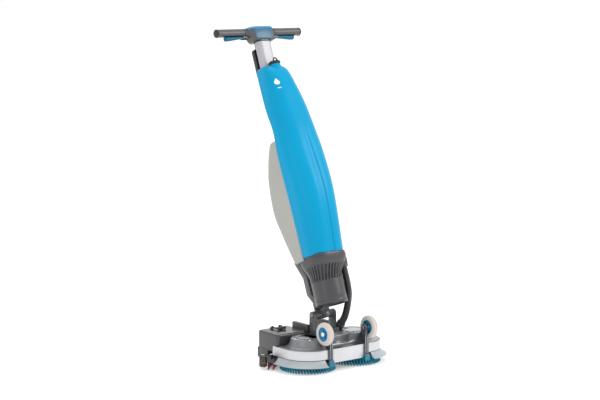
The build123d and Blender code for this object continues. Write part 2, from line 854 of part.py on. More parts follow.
def make_hose_lower():
    """Hose from the level of the joint down to the elbow on the deck."""
    rest = [deck.from_local_coords(p) for p in hose_down]
    meeting = column.from_local_coords(hose_meeting)
    start = meeting + (rest[0] - meeting).normalized() * gap
    return hose_tube([start, *rest])


def make_suction_elbow():
    """Socket on the deck for the lower end of the hose."""
    mouth = Plane(origin=deck.from_local_coords(elbow_at), z_dir=elbow_up)
    with BuildPart(deck) as elbow:
        post(elbow_at[0], elbow_at[1], (dome_top, elbow_at[2]), 11)
        with BuildSketch(mouth.offset(-8)):
            Circle(hose_r + 3)
        extrude(amount=26)
        with BuildSketch(mouth.offset(9.7)):
            Circle(hose_r)
        extrude(amount=20, mode=Mode.SUBTRACT)
        box((40, 100), (0, 70), (dome_top - 20, dome_top), Mode.SUBTRACT)
    return elbow


def make_deck_screws():
    """Screws on the domes."""
    with BuildPart(deck) as screws:
        for _, side in SIDES:
            for angle in (0, -60, -120):
                turn = radians(angle if side > 0 else 180 - angle)
                post(side * brush_x + 55 * cos(turn), 55 * sin(turn), (dome_top, dome_top + 2.5), 4)
    return screws


# ---------------------------------------------------------------- write the parts
single_pieces = {
    "deck_cover": make_deck_cover,
    "bumper_bands": make_bumper_bands,
    "front_plate": make_front_plate,
    "splash_skirts": make_splash_skirts,
    "chassis_plate": make_chassis_plate,
    "battery_tray": make_battery_tray,
    "battery": make_battery,
    "battery_bail": make_battery_bail,
    "side_cover": make_side_cover,
    "power_module": make_power_module,
    "brush_motors": make_brush_motors,
    "wheel_bracket": make_wheel_bracket,
    "wheel_clips": make_wheel_clips,
    "wheel_bolts": make_wheel_bolts,
    "base_fork": make_base_fork,
    "tilt_pins": make_tilt_pins,
    "pivot_block": make_pivot_block,
    "roll_pin": make_roll_pin,
    "column_yoke": make_column_yoke,
    "motor_housing": make_motor_housing,
    "vacuum_motor": make_vacuum_motor,
    "water_pump": make_water_pump,
    "control_board": make_control_board,
    "hose_cuff": make_hose_cuff,
    "spine": make_spine,
    "clamp_pin": make_clamp_pin,
    "clamp_lever": make_clamp_lever,
    "clean_tank": make_clean_tank,
    "filler_cap": make_filler_cap,
    "recovery_tank": make_recovery_tank,
    "float_filter": make_float_filter,
    "mast_tube": make_mast_tube,
    "mast_channel": make_mast_channel,
    "handle_core": make_handle_core,
    "display_housing": make_display_housing,
    "display_lens": make_display_lens,
    "grips": make_grips,
    "end_caps": make_end_caps,
    "trigger_pins": make_trigger_pins,
    "squeegee_holder": make_squeegee_holder,
    "squeegee_blades": make_squeegee_blades,
    "roller_bolts": make_roller_bolts,
    "hose_upper": make_hose_upper,
    "hose_lower": make_hose_lower,
    "suction_elbow": make_suction_elbow,
    "deck_screws": make_deck_screws,
}
paired_pieces = {
    "brush_plate": make_brush_plate,
    "bristles": make_bristles,
    "wheel_tyre": make_wheel_tyre,
    "wheel_hub": make_wheel_hub,
    "trigger": make_trigger,
    "squeegee_roller": make_squeegee_roller,
}
buttons = (("power_button", 1), ("mode_button", -1))

os.makedirs("parts", exist_ok=True)
for name, make in single_pieces.items():
    piece = make()
    piece.part.label = name
    export_step(piece.part, f"parts/{name}.step")

for stem, make in paired_pieces.items():
    for side_name, side in SIDES:
        piece = make(side)
        piece.part.label = f"{stem}_{side_name}"
        export_step(piece.part, f"parts/{stem}_{side_name}.step")

for name, side in buttons:
    piece = make_button(side)
    piece.part.label = name
    export_step(piece.part, f"parts/{name}.step")
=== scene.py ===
import bpy
import bmesh
import json
import random
from math import cos, degrees, pi, radians, sin, sqrt, tau
from mathutils import Matrix, Vector


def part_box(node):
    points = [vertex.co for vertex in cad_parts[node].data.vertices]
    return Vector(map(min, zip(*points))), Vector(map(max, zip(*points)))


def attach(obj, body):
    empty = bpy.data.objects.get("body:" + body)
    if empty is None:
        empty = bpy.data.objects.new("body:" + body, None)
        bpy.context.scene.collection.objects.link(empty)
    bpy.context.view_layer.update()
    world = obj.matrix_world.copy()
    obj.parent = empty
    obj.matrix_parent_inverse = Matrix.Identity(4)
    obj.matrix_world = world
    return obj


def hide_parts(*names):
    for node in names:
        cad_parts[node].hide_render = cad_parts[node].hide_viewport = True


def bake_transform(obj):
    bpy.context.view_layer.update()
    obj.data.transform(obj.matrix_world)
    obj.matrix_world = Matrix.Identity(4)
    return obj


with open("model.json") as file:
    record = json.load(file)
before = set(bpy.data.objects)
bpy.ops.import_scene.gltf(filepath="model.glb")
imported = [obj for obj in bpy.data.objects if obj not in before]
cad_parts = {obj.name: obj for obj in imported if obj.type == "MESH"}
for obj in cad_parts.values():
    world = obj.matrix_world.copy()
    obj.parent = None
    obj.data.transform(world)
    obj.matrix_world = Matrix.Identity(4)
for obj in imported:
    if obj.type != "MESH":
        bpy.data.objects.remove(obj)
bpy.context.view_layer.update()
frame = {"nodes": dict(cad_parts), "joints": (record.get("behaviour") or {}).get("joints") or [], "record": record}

# ---------------------------------------------------------------- the frame's own planes
# Shapes are given in millimetres on one of two planes. On the deck plane x is across,
# y runs to the rear from the brush axes and z is up from the floor. On the column
# plane x is across, y runs to the rear and z runs up the column from the tilt axis.
record = frame["record"]
joints = {joint["name"]: joint for joint in frame["joints"]}
node_slot = {part["node"]: part["material_slot"] for part in record["subparts"]}
node_body = {}
for body, members in record["behaviour"]["bodies"].items():
    for member in members:
        node_body[member] = body

PIVOT = Vector(joints["mast_tilt"]["pos_m"])
UP = Vector(joints["handle_height"]["axis"]).normalized()
REAR = UP.cross(Vector((1, 0, 0)))
BRUSH_Y = sum(corner.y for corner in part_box("bristles_left")) / 2
MM = 0.001
UPRIGHT = (0, 0, 1)
SIDES = {"left": 1, "right": -1}
BRUSH_X = 104
LOBE_R = 99


def plane(origin, x, y, z):
    """Matrix from millimetres on a plane to metres in the frame."""
    turn = Matrix((x, y, z)).transposed().to_4x4()
    return Matrix.Translation(origin) @ turn @ Matrix.Scale(MM, 4)


DECK = plane(Vector((0, BRUSH_Y, 0)), (1, 0, 0), (0, 1, 0), UPRIGHT)
COLUMN = plane(PIVOT, (1, 0, 0), REAR, UP)

# ---------------------------------------------------------------- camera
camera_data = bpy.data.cameras.new("camera")
camera_data.lens = 97.7
camera_data.sensor_width = 36.0
camera_data.clip_end = 200.0
camera = bpy.data.objects.new("camera", camera_data)
camera.location = (-3.587, -4.430 + BRUSH_Y, 1.37)
camera.rotation_euler = (pi / 2 - 0.13567, 0, -0.66139)
bpy.context.scene.collection.objects.link(camera)
bpy.context.scene.camera = camera
bpy.context.scene.view_settings.view_transform = "Standard"


# ---------------------------------------------------------------- materials
def linear(colour):
    """Linear colour from 0-255 display values."""
    out = []
    for value in colour:
        v = value / 255
        out.append(v / 12.92 if v <= 0.04045 else ((v + 0.055) / 1.055) ** 2.4)
    return (*out, 1.0)


FINISH = {}
ROUGH_RANGE = 0.08


def material(name, colour, rough=0.5, metal=0.0, second=None, patch=8.0, grain=0.0, grain_scale=900.0,
             streak=None, coat=0.0, transmission=0.0, marks=0.3, spec=0.5, glow=0.0):
    """Procedural finish: patchy colour, moulded or brushed grain, and uneven gloss."""
    mat = bpy.data.materials.new(name)
    mat.use_nodes = True
    nodes, links = mat.node_tree.nodes, mat.node_tree.links
    shader = nodes["Principled BSDF"]
    for socket, value in (
        ("Metallic", metal), ("Coat Weight", coat), ("Coat Roughness", 0.08),
        ("Transmission Weight", transmission), ("Specular IOR Level", spec),
        ("Emission Color", (1, 1, 1, 1)), ("Emission Strength", glow),
    ):
        shader.inputs[socket].default_value = value
    place = nodes.new("ShaderNodeTexCoord")
    stretch = nodes.new("ShaderNodeMapping")
    stretch.inputs["Scale"].default_value = streak or (1, 1, 1)
    links.new(place.outputs["Object"], stretch.inputs["Vector"])
    patches = nodes.new("ShaderNodeTexNoise")
    patches.inputs["Scale"].default_value = patch
    patches.inputs["Detail"].default_value = 5
    links.new(stretch.outputs["Vector"] if streak else place.outputs["Object"], patches.inputs["Vector"])
    ramp = nodes.new("ShaderNodeValToRGB")
    base = linear(colour)
    other = linear(second) if second else tuple(min(1, c * 1.16 + 0.004) for c in base[:3]) + (1,)
    ramp.color_ramp.elements[0].position = 0.5 - marks / 2
    ramp.color_ramp.elements[1].position = 0.5 + marks / 2
    ramp.color_ramp.elements[0].color = base
    ramp.color_ramp.elements[1].color = other
    links.new(patches.outputs["Fac"], ramp.inputs["Fac"])
    links.new(ramp.outputs["Color"], shader.inputs["Base Color"])
    gloss = nodes.new("ShaderNodeMapRange")
    gloss.inputs["To Min"].default_value = max(0.02, rough - ROUGH_RANGE)
    gloss.inputs["To Max"].default_value = min(1.0, rough + ROUGH_RANGE)
    links.new(patches.outputs["Fac"], gloss.inputs["Value"])
    links.new(gloss.outputs["Result"], shader.inputs["Roughness"])
    if grain:
        fine = nodes.new("ShaderNodeTexNoise")
        fine.inputs["Scale"].default_value = grain_scale
        fine.inputs["Detail"].default_value = 3
        links.new(stretch.outputs["Vector"], fine.inputs["Vector"])
        bump = nodes.new("ShaderNodeBump")
        bump.inputs["Strength"].default_value = grain
        bump.inputs["Distance"].default_value = 0.0004
        links.new(fine.outputs["Fac"], bump.inputs["Height"])
        links.new(bump.outputs["Normal"], shader.inputs["Normal"])
    FINISH[name] = mat
    return mat


ACROSS = (1, 1, 0.02)
material("deck_grey", (104, 107, 110), 0.2, grain=0.03, coat=0.5)
material("silver_band", (196, 196, 200), 0.42, 0.6, (204, 204, 208), 12, 0.05, 500)
material("skirt", (172, 180, 184), 0.35, grain=0.04, transmission=0.2, second=(182, 190, 194))
material("dark_plastic", (54, 54, 57), 0.36, grain=0.1, coat=0.08)
material("motor_metal", (104, 106, 110), 0.4, 0.7, grain=0.2)
material("teal_plastic", (0, 104, 130), 0.3, grain=0.06, coat=0.1, second=(6, 116, 144))
material("steel", (196, 197, 200), 0.24, 1.0, grain=0.15, second=(222, 223, 226))
material("joint_casting", (82, 83, 86), 0.34, 0.2, grain=0.2, grain_scale=700)
material("bristles", (0, 124, 152), 0.4, second=(24, 156, 184), patch=260, marks=0.5)
material("tyre", (192, 184, 178), 0.5, grain=0.1, second=(200, 192, 186), spec=0.3)
material("hose_rubber", (26, 26, 28), 0.28, grain=0.04, coat=0.1)
material("pump_plastic", (120, 122, 124), 0.5, grain=0.1)
material("circuit_board", (24, 96, 52), 0.4, grain=0.2)
material("mast_aluminium", (170, 170, 174), 0.45, 0.35, (178, 178, 182), 60, 0.06, 700, ACROSS, spec=0.3)
material("blue_gloss", (0, 144, 188), 0.3, grain=0.03, second=(0, 149, 193), patch=3, spec=0.12)
material("beige_plastic", (156, 157, 151), 0.42, grain=0.07, second=(162, 163, 157), patch=4, spec=0.3)
material("display_glass", (10, 22, 30), 0.08, second=(16, 34, 44), coat=0.6)
material("grip_rubber", (70, 70, 72), 0.3, grain=0.08, second=(78, 78, 80), streak=(0.05, 1, 1))
material("button", (48, 50, 54), 0.4, grain=0.1)
material("blade_rubber", (112, 22, 54), 0.5, grain=0.1, second=(132, 32, 66))
material("roller_brass", (176, 142, 88), 0.34, 0.5, (196, 164, 108), 40, 0.1)
material("white_mark", (236, 244, 248), 0.4, grain=0.04)
material("navy_seam", (0, 62, 92), 0.4, grain=0.05)
# Pale trim; the same finish also paints the highlight lines down the wheel arms' edges.
material("pale_trim_and_highlight", (176, 178, 180), 0.35, grain=0.08)
# Black plastic; the same finish also paints shade: the strip under the lobe bands, the ring under the handle block
# and the dome's holes.
material("black_plastic", (30, 30, 32), 0.4, grain=0.12)
material("battery_dark", (44, 44, 47), 0.24, grain=0.05, coat=0.3)
# Darker teal for the inner bristle rows: painted shade in the gaps between the outer tufts.
material("bristles_painted_shade", (0, 52, 70), 0.6, second=(0, 66, 86), patch=200)
material("joint_steel", (118, 119, 122), 0.34, 0.8, grain=0.1)
material("pod_blue", (20, 112, 158), 0.16, grain=0.02, coat=0.4, second=(26, 120, 166), patch=3)
material("hub_blue", (0, 112, 158), 0.3, grain=0.05, coat=0.1, second=(6, 122, 168))
# White for the axles and their end caps: a painted glint on the bolts.
material("bolt_glint_white", (226, 226, 224), 0.35, grain=0.05)
material("panel_teal", (44, 92, 116), 0.3, grain=0.06, coat=0.1, spec=0.3)
material("trigger_teal", (0, 90, 118), 0.34, grain=0.06, second=(0, 98, 126), spec=0.2)
material("roller_dark", (46, 44, 44), 0.4, grain=0.12)
material("deck_dark", (50, 54, 60), 0.2, grain=0.02, coat=0.5)


# ---------------------------------------------------------------- mesh tools
class Shape:
    """Mesh parts in millimetres on one plane, gathered into one piece."""

    def __init__(self, where):
        self.bm = bmesh.new()
        self.where = where

    def faces(self, points, quads):
        """Adds points and the faces between them."""
        made = [self.bm.verts.new(p) for p in points]
        for quad in quads:
            corners = []
            for index in quad:
                if made[index] not in corners:
                    corners.append(made[index])
            if len(corners) > 2:
                try:
                    self.bm.faces.new(corners)
                except ValueError:
                    pass
        return made

    def loft(self, rings, ends=(True, True)):
        """Skin between rings of points, with flat ends."""
        n = len(rings[0])
        points = [p for ring in rings for p in ring]
        quads = []
        for k in range(len(rings) - 1):
            for i in range(n):
                j = (i + 1) % n
                quads.append((k * n + i, k * n + j, (k + 1) * n + j, (k + 1) * n + i))
        if ends[0]:
            quads.append(tuple(range(n - 1, -1, -1)))
        if ends[1]:
            quads.append(tuple((len(rings) - 1) * n + i for i in range(n)))
        return self.faces(points, quads)

    def lathe(self, base, axis, profile, segments=48, ends=(True, True)):
        """Turned shape from (radius, height) pairs about an axis."""
        axis = Vector(axis).normalized()
        side = axis.orthogonal().normalized()
        other = axis.cross(side)
        rings = []
        for radius, height in profile:
            ring = []
            for i in range(segments):
                angle = tau * i / segments
                ring.append(Vector(base) + axis * height + (side * cos(angle) + other * sin(angle)) * radius)
            rings.append(ring)
        return self.loft(rings, ends=ends)

    def hoop(self, base, axis, profile, segments=48):
        """Turned ring, closed back to its first point."""
        return self.lathe(base, axis, profile + profile[:1], segments, ends=(False, False))

    def rod(self, base, axis, length, radius, edge=0.8, segments=32):
        """Cylinder with softened ends."""
        profile = [(radius - edge, 0), (radius - 0.3 * edge, 0.3 * edge), (radius, edge),
                   (radius, length - edge), (radius - 0.3 * edge, length - 0.3 * edge),
                   (radius - edge, length)]
        return self.lathe(base, axis, profile, segments)

    def box(self, x, y, z, edge=1.0, segments=3, turn=None):
        """Block between pairs of limits, with rounded edges."""
        middle = Vector(((x[0] + x[1]) / 2, (y[0] + y[1]) / 2, (z[0] + z[1]) / 2))
        size = Matrix.Diagonal((abs(x[1] - x[0]), abs(y[1] - y[0]), abs(z[1] - z[0]), 1))
        spot = Matrix.Translation(middle) @ (turn.to_4x4() if turn else Matrix.Identity(4)) @ size
        made = bmesh.ops.create_cube(self.bm, size=1, matrix=spot)["verts"]
        edges = list({e for v in made for e in v.link_edges})
        bmesh.ops.bevel(self.bm, geom=edges, offset=edge, segments=segments, profile=0.5, affect="EDGES",
                        clamp_overlap=True)

    def tube(self, points, radii, segments=20):
        """Round tube along points, with one radius for each."""
        points = [Vector(p) for p in points]
        tangents = []
        for i in range(len(points)):
            before, after = points[max(i - 1, 0)], points[min(i + 1, len(points) - 1)]
            tangents.append((after - before).normalized())
        side = tangents[0].orthogonal().normalized()
        rings = []
        for point, tangent, radius in zip(points, tangents, radii):
            side = (side - tangent * side.dot(tangent)).normalized()
            other = tangent.cross(side)
            rings.append([point + (side * cos(tau * i / segments) + other * sin(tau * i / segments)) * radius
                          for i in range(segments)])
        return self.loft(rings)

    def piece(self, name, body, finish, stands_for=(), slot=None, angle=38):
        """Writes the mesh as an object that rides on a body."""
        bmesh.ops.recalc_face_normals(self.bm, faces=self.bm.faces)
        self.bm.transform(self.where)
        return finish_piece(self.bm, name, body, finish, stands_for, angle)


def finish_piece(bm, name, body, finish, stands_for, angle):
    """Object from a mesh, smooth where faces meet below an angle."""
    mesh = bpy.data.meshes.new(name)
    bm.to_mesh(mesh)
    bm.free()
    mesh.polygons.foreach_set("use_smooth", [True] * len(mesh.polygons))
    mesh.set_sharp_from_angle(angle=radians(angle))
    mesh.materials.append(FINISH[finish])
    piece = bpy.data.objects.new(name, mesh)
    bpy.context.scene.collection.objects.link(piece)
    if body:
        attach(piece, body)
    if stands_for:
        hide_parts(*stands_for)
    return piece


def soften(node, width=0.8, finish=None, angle=35, segments=2):
    """Stands for a CAD node with the same shape and rounded edges."""
    bm = bmesh.new()
    bm.from_mesh(frame["nodes"][node].data)
    bmesh.ops.remove_doubles(bm, verts=bm.verts, dist=2e-6)
    bmesh.ops.dissolve_limit(bm, angle_limit=radians(0.6), verts=bm.verts, edges=bm.edges)
    sharp = [e for e in bm.edges if len(e.link_faces) == 2 and e.calc_face_angle() > radians(angle)]
    bmesh.ops.bevel(bm, geom=sharp, offset=width * MM, segments=segments, profile=0.5, affect="EDGES",
                    clamp_overlap=True)
    return finish_piece(bm, f"{node}_soft", node_body[node], finish or node_slot[node], (node,),
                        42)


def smooth(xs, ys, x):
    """Monotone cubic through the points (xs, ys)."""
    if x <= xs[0]:
        return ys[0]
    if x >= xs[-1]:
        return ys[-1]
    k = max(i for i in range(len(xs) - 1) if xs[i] <= x)
    slopes = [(ys[i + 1] - ys[i]) / (xs[i + 1] - xs[i]) for i in range(len(xs) - 1)]

    def slope(i):
        if i in (0, len(xs) - 1):
            return slopes[0] if i == 0 else slopes[-1]
        a, b = slopes[i - 1], slopes[i]
        return 0.0 if a * b <= 0 else 2 * a * b / (a + b)

    h = xs[k + 1] - xs[k]
    t = (x - xs[k]) / h
    return ((1 + 2 * t) * (1 - t) ** 2 * ys[k] + t * (1 - t) ** 2 * h * slope(k)
            + t * t * (3 - 2 * t) * ys[k + 1] + t * t * (t - 1) * h * slope(k + 1))


def arc_points(cx, cy, r, start, end, count):
    """Points on an arc, angles in degrees."""
    return [(cx + r * cos(radians(start + (end - start) * i / (count - 1))),
             cy + r * sin(radians(start + (end - start) * i / (count - 1)))) for i in range(count)]


def quarter_turn(steps, first=0):
    """Angles of a quarter turn, in even steps."""
    return [k / steps * pi / 2 for k in range(first, steps + 1)]


def mirrored(half):
    """Closed outline from its +X half, which runs from one centre point to the other."""
    return half + [(-x, y) for x, y in half[-2:0:-1]]


def at_level(outline, s):
    return [(x, y, s) for x, y in outline]


def ease(t):
    t = max(0.0, min(1.0, t))
    return t * t * (3 - 2 * t)


# ---------------------------------------------------------------- clean-water tank
# Height, half width, back, front and front corner of the front tank.
CLEAN = (
    (200, 74.5, -57, -141.5, 57), (431, 81, -57, -163, 62), (582, 85, -57, -148, 62),
    (655, 81, -57, -138, 60), (742, 78, -42, -121, 56), (850, 61, -14, -98, 46), (899, 53, -4, -78, 36),
    (925, 46, 0, -56, 34),
)
CLEAN_COLUMNS = list(zip(*CLEAN))


def clean_at(s, inset=0.0):
    """Half width, back, front and corner radius of the front tank."""
    half, back, front, corner = (smooth(CLEAN_COLUMNS[0], CLEAN_COLUMNS[k], s) for k in range(1, 5))
    return half - inset, back - 0.6 * inset, front + inset, max(corner - inset, 4)


def groove_depth(x, s):
    """Shallow channel down the middle of the front, deeper and wider towards the foot."""
    t = ease((745 - s) / 260)
    width = 4.5 + 4.5 * t
    return 3.2 * t * (1 - ease((abs(x) - width) / 3.0))


def clean_ring(s, inset=0.0):
    half, back, front, corner = clean_at(s, inset)
    slot_y = min(back, -35.4)
    step = (back + slot_y) / 2
    reach = max(half, 36.5)
    outline = [(0, slot_y), (20, slot_y), (34, slot_y), (35.4, slot_y), (35.4, step), (35.4, back)]
    r = min(3.0, max((reach - 36.4) / 2, 0.02))
    outline += [(35.4 + (reach - r - 35.4) * 0.5, back)]
    outline += arc_points(reach - r, back - r, r, 90, 0, 5)
    flank = min(front + corner, back - r - 1)
    outline += [(reach, back - r + (flank - back + r) * t) for t in (0.15, 0.4, 0.65, 0.85)]
    rx = min(corner, reach - 1)
    ry = min(corner, flank - front)
    for i in range(17):
        a = radians(90 * i / 16)
        outline.append((reach - rx + rx * cos(a), front + ry - ry * sin(a)))
    flat = reach - rx
    scale = min(1.0, (flat - 0.5) / 16.0)
    for x in (16, 13, 11.5, 10.5, 9.5, 8.5, 7.5, 6, 4, 0):
        outline.append((x * scale, front + groove_depth(x, s)))
    return at_level(mirrored(outline), s)


tank = Shape(COLUMN)
rings = [clean_ring(200.3 + 2.6 * (1 - cos(t)), 2.6 * (1 - sin(t))) for t in quarter_turn(4)]
rings += [clean_ring(203 + (909 - 203) * k / 92) for k in range(1, 93)]
rings += [clean_ring(909 + 15.5 * sin(t), 11 * (1 - cos(t))) for t in quarter_turn(8, 1)]
tank.loft(rings)
tank.piece("clean_tank_shell", "clean_tank", "blue_gloss", ("clean_tank",), angle=55)

CAP_Y = -55
neck = Shape(COLUMN)
neck.lathe((0, CAP_Y, 895), UPRIGHT, [
    (23, 0), (21.5, 20), (20, 27), (19.4, 29.2), (18.2, 30), (14.6, 30), (14.2, 29), (14.2, 8), (2, 8),
], 56, ends=(False, True))
neck.piece("filler_neck", "clean_tank", "blue_gloss")


def tank_front(x, s):
    """Point on the front tank's skin, at a place across it."""
    half, _, front, corner = clean_at(s)
    over = abs(x) - (half - corner)
    y = front + groove_depth(x, s)
    if over > 0:
        y = front + corner - sqrt(max(corner ** 2 - min(over, corner) ** 2, 0))
    return Vector((x, y, s))


def off_tank(x, s):
    """Point just off the front tank's skin, at a place across it."""
    across = tank_front(x + 0.5, s) - tank_front(x - 0.5, s)
    out = across.cross(tank_front(x, s + 0.5) - tank_front(x, s - 0.5)).normalized()
    return tank_front(x, s) + (out if out.y < 0 else -out) * 0.25


def decal(shape, outline):
    """Thin print on the tank's skin: an outline of (x, s) points around its own middle."""
    middle = [sum(c) / len(outline) for c in zip(*outline)]
    n = len(outline)
    shape.faces([off_tank(x, s) for x, s in [middle] + outline],
                [(0, 1 + i, 1 + (i + 1) % n) for i in range(n)])


# A plain water drop and a short bar mark the clean-water tank.
prints = Shape(COLUMN)
drop = []
for i in range(40):
    c, q = cos(tau * i / 40), sin(tau * i / 40)
    drop.append((-38 + 9 * q * (1 if c < 0 else (1 - c) ** 0.8), 846 + (9 if c < 0 else 17) * c))
decal(prints, drop)
decal(prints, [(-44, 822), (-38, 822), (-32, 822), (-32, 824.4), (-38, 824.4), (-44, 824.4)])
prints.piece("tank_prints", "clean_tank", "white_mark", slot="blue_gloss")

# ---------------------------------------------------------------- filler cap
cap = Shape(COLUMN)
cap.lathe((0, CAP_Y, 925.4), UPRIGHT, [
    (20, 0), (21, 0.8), (21, 8.5), (20.2, 10.2), (18.5, 11.2), (15, 11.6), (0.5, 11.8),
], 72)
for i in range(36):
    a = tau * i / 36
    cap.rod((21.0 * cos(a), CAP_Y + 21.0 * sin(a), 926.6), UPRIGHT, 7.4, 0.75, 0.2, 8)
cap.lathe((0, CAP_Y, 917), UPRIGHT, [(13.4, 0), (13.4, 8.6)], 40)
loop_points = []
for degree in range(-28, 209, 8):
    a = radians(degree)
    loop_points.append((8.3 * cos(a), -63, 938.5 + 9.2 * sin(a)))
cap.tube(loop_points, [2.6] * len(loop_points), 14)
cap.piece("filler_cap_moulding", "filler_cap", "black_plastic", ("filler_cap",))

# ---------------------------------------------------------------- recovery tank
RECOVERY = ((191, 12, 30), (300, 47, 30), (404, 70, 30), (500, 62, 32), (580, 40, 40), (640, 14, 50))
RECOVERY_COLUMNS = list(zip(*RECOVERY))


def recovery_ring(s, inset=0.0):
    back = smooth(RECOVERY_COLUMNS[0], RECOVERY_COLUMNS[1], s) - inset
    corner = smooth(RECOVERY_COLUMNS[0], RECOVERY_COLUMNS[2], s)
    half, front = 77 - inset, -56.5 + 0.5 * inset
    back = max(back, 11.4)
    outline = [(0, 10.8), (30, 10.8), (35.6, 10.4), (35.6, -10), (35.6, front + 0.6), (36.2, front)]
    outline += [(50, front)]
    outline += arc_points(half - 2.5, front + 2.5, 2.5, -90, 0, 5)
    rx, ry = min(corner, half - 2), min(corner, back - front - 4)
    outline += [(half, front + 2.5 + (back - ry - front - 2.5) * t) for t in (0.3, 0.7)]
    for i in range(17):
        a = radians(90 * i / 16)
        outline.append((half - rx + rx * cos(a), back - ry + ry * sin(a)))
    outline += [(max(half - rx, 2) * 0.5, back), (0, back)]
    return at_level(mirrored(outline), s)


recovery = Shape(COLUMN)
rings = [recovery_ring(191.2 + 4 * (1 - cos(t)), 4 * (1 - sin(t))) for t in quarter_turn(4)]
rings += [recovery_ring(195.2 + (632 - 195.2) * k / 63) for k in range(1, 64)]
rings += [recovery_ring(632 + 8 * sin(t), 8 * (1 - cos(t))) for t in quarter_turn(6, 1)]
recovery.loft(rings)
recovery.piece("recovery_tank_shell", "recovery_tank", "beige_plastic", ("recovery_tank",), angle=50)

# Drain plug low on the back of the recovery tank.
plug = Shape(COLUMN)
plug.lathe((0, 60, 300), (0, 0.9, -0.44), [
    (15, -8), (15, 2.6), (14, 4), (11, 4.6), (4, 4.6), (3, 7.5), (0.4, 8),
], 40)
plug.box((-9, 9), (66, 72), (292, 295.5), 1.2)
plug.piece("drain_plug", "recovery_tank", "dark_plastic")

# ---------------------------------------------------------------- motor housing
def ring_between(t, s, inset=0.0, slots=0.0):
    """Section of the motor housing, from round (t 0) to the tanks' foot (t 1)."""
    half = 58 + (74 - 58) * t - inset
    back = -8 + (-3.5 + 8) * t - inset
    front = -124 + (-143 + 124) * t + inset
    cy = (back + front) / 2
    half_y = (back - front) / 2
    power = 2.0 + 1.6 * t
    ring = []
    for i in range(240):
        a = tau * i / 240
        c, q = cos(a), sin(a)
        r = (abs(c) ** power + abs(q) ** power) ** (-1 / power)
        x, y = half * r * c, cy + half_y * r * q
        if slots and q < 0.35:
            phase = (degrees(a) - 0.16 * (s - 110)) / 11.25
            wave = 0.5 - 0.5 * cos(tau * phase)
            dig = slots * ease((wave - 0.5) / 0.22)
            x -= dig * c
            y -= dig * q
        ring.append((x, y, s))
    return ring


def swell(s):
    """How far the housing has widened towards the tanks at a height."""
    return ease((s - 120) / 69 * 0.98)


housing = Shape(COLUMN)
rings = [ring_between(0, s, inset) for s, inset in (
    (26, 12), (21.5, 10), (20, 6), (20.4, 4.2), (23.5, 1.2), (25, 0.3), (29, 0), (33, 0), (34.2, 0.9),
    (35.6, 0.9), (36.8, 0), (50, 0), (65, 0), (80, 0), (92, 0), (100, 0),
)]
for k in range(31):
    s = 102 + 64 * k / 30
    rings.append(ring_between(swell(s), s, slots=5.6 * ease((s - 106) / 5) * ease((163 - s) / 5)))
rings += [ring_between(swell(s), s) for s in (167, 170, 174, 179, 184, 188)]
rings += [ring_between(1, s, inset) for s, inset in ((190, 0), (190.4, 0.6), (190.5, 3))]
housing.loft(rings)
housing.loft([[(x, min(y, -58), s) for x, y, s in ring_between(1, s, inset)] for s, inset in (
    (187, 3), (190, 1.5), (192, 1.2), (197, 1.2), (199.2, 2.2), (199.5, 5),
)])
housing.piece("motor_housing_shell", "column", "dark_plastic", ("motor_housing",), angle=50)

seam = Shape(COLUMN)
seam.loft([[(x, min(y, -57.6), s) for x, y, s in ring_between(1, s, 2.4)] for s in (198.8, 201)],
          ends=(False, False))
seam.piece("tank_gasket", "column", "navy_seam", slot="dark_plastic")

# ---------------------------------------------------------------- suction hose
def hose_line(points):
    """Smooth line with the route's points as its control points."""
    curve = bpy.data.curves.new("route", "CURVE")
    curve.dimensions = "3D"
    curve.resolution_u = 40
    spline = curve.splines.new("NURBS")
    spline.points.add(len(points) - 1)
    for point, place in zip(spline.points, points):
        point.co = (*place, 1.0)
    spline.order_u = 3
    spline.use_endpoint_u = True
    holder = bpy.data.objects.new("route", curve)
    mesh = bpy.data.meshes.new_from_object(holder)
    line = [v.co.copy() for v in mesh.vertices]
    bpy.data.objects.remove(holder)
    bpy.data.curves.remove(curve)
    bpy.data.meshes.remove(mesh)
    return line


def even(line, step):
    """The line's points, respaced evenly."""
    out = [line[0].copy()]
    left = step
    for a, b in zip(line, line[1:]):
        length = (b - a).length
        at = 0.0
        while length - at > left:
            at += left
            out.append(a.lerp(b, at / length))
            left = step
        left -= length - at
    return out


def corrugated(name, line, node):
    """Ribbed hose along a line between two bodies, as one fixed piece."""
    points = even(line, 0.0007)
    shape = Shape(Matrix.Identity(4))
    pitch = 0.0066
    radii = []
    for i in range(len(points)):
        wave = 0.5 + 0.5 * cos(tau * i * 0.0007 / pitch)
        radii.append(0.0112 + 0.0019 * wave ** 0.6)
    shape.tube(points, radii, 28)
    bmesh.ops.recalc_face_normals(shape.bm, faces=shape.bm.faces)
    piece = finish_piece(shape.bm, name, None, "hose_rubber", (node,), 80)
    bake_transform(piece)
    return piece


HOSE = (71, -89)  # x and y where the hose enters the housing
hose_up = [COLUMN @ Vector(p) for p in (
    (71, -54, 2), (73, -80, 40), (72, -88, 86), (71, -89, 128), (71, -89, 166),
)]
meeting = hose_up[0]
hose_down = [DECK @ Vector(p) for p in ((69, 29.6, 131.3), (69, 16.4, 146.3), (69.8, 1.8, 168))] + [meeting]
lower_line = hose_line(hose_down)
upper_line = hose_line(hose_up)
corrugated("hose_lower_ribbed", lower_line, "hose_lower")
corrugated("hose_upper_ribbed", upper_line, "hose_upper")

cuff = Shape(COLUMN)
cuff.lathe((*HOSE, 146), UPRIGHT, [
    (13.4, 0), (16.2, 0.4), (17.2, 2), (17.2, 5), (16.6, 6), (16.6, 9), (17.4, 10), (17.8, 14),
    (18.4, 30), (17, 46), (4, 54),
], 48, ends=(False, True))
cuff.piece("hose_cuff_moulding", "column", "dark_plastic", ("hose_cuff",), "dark_plastic")

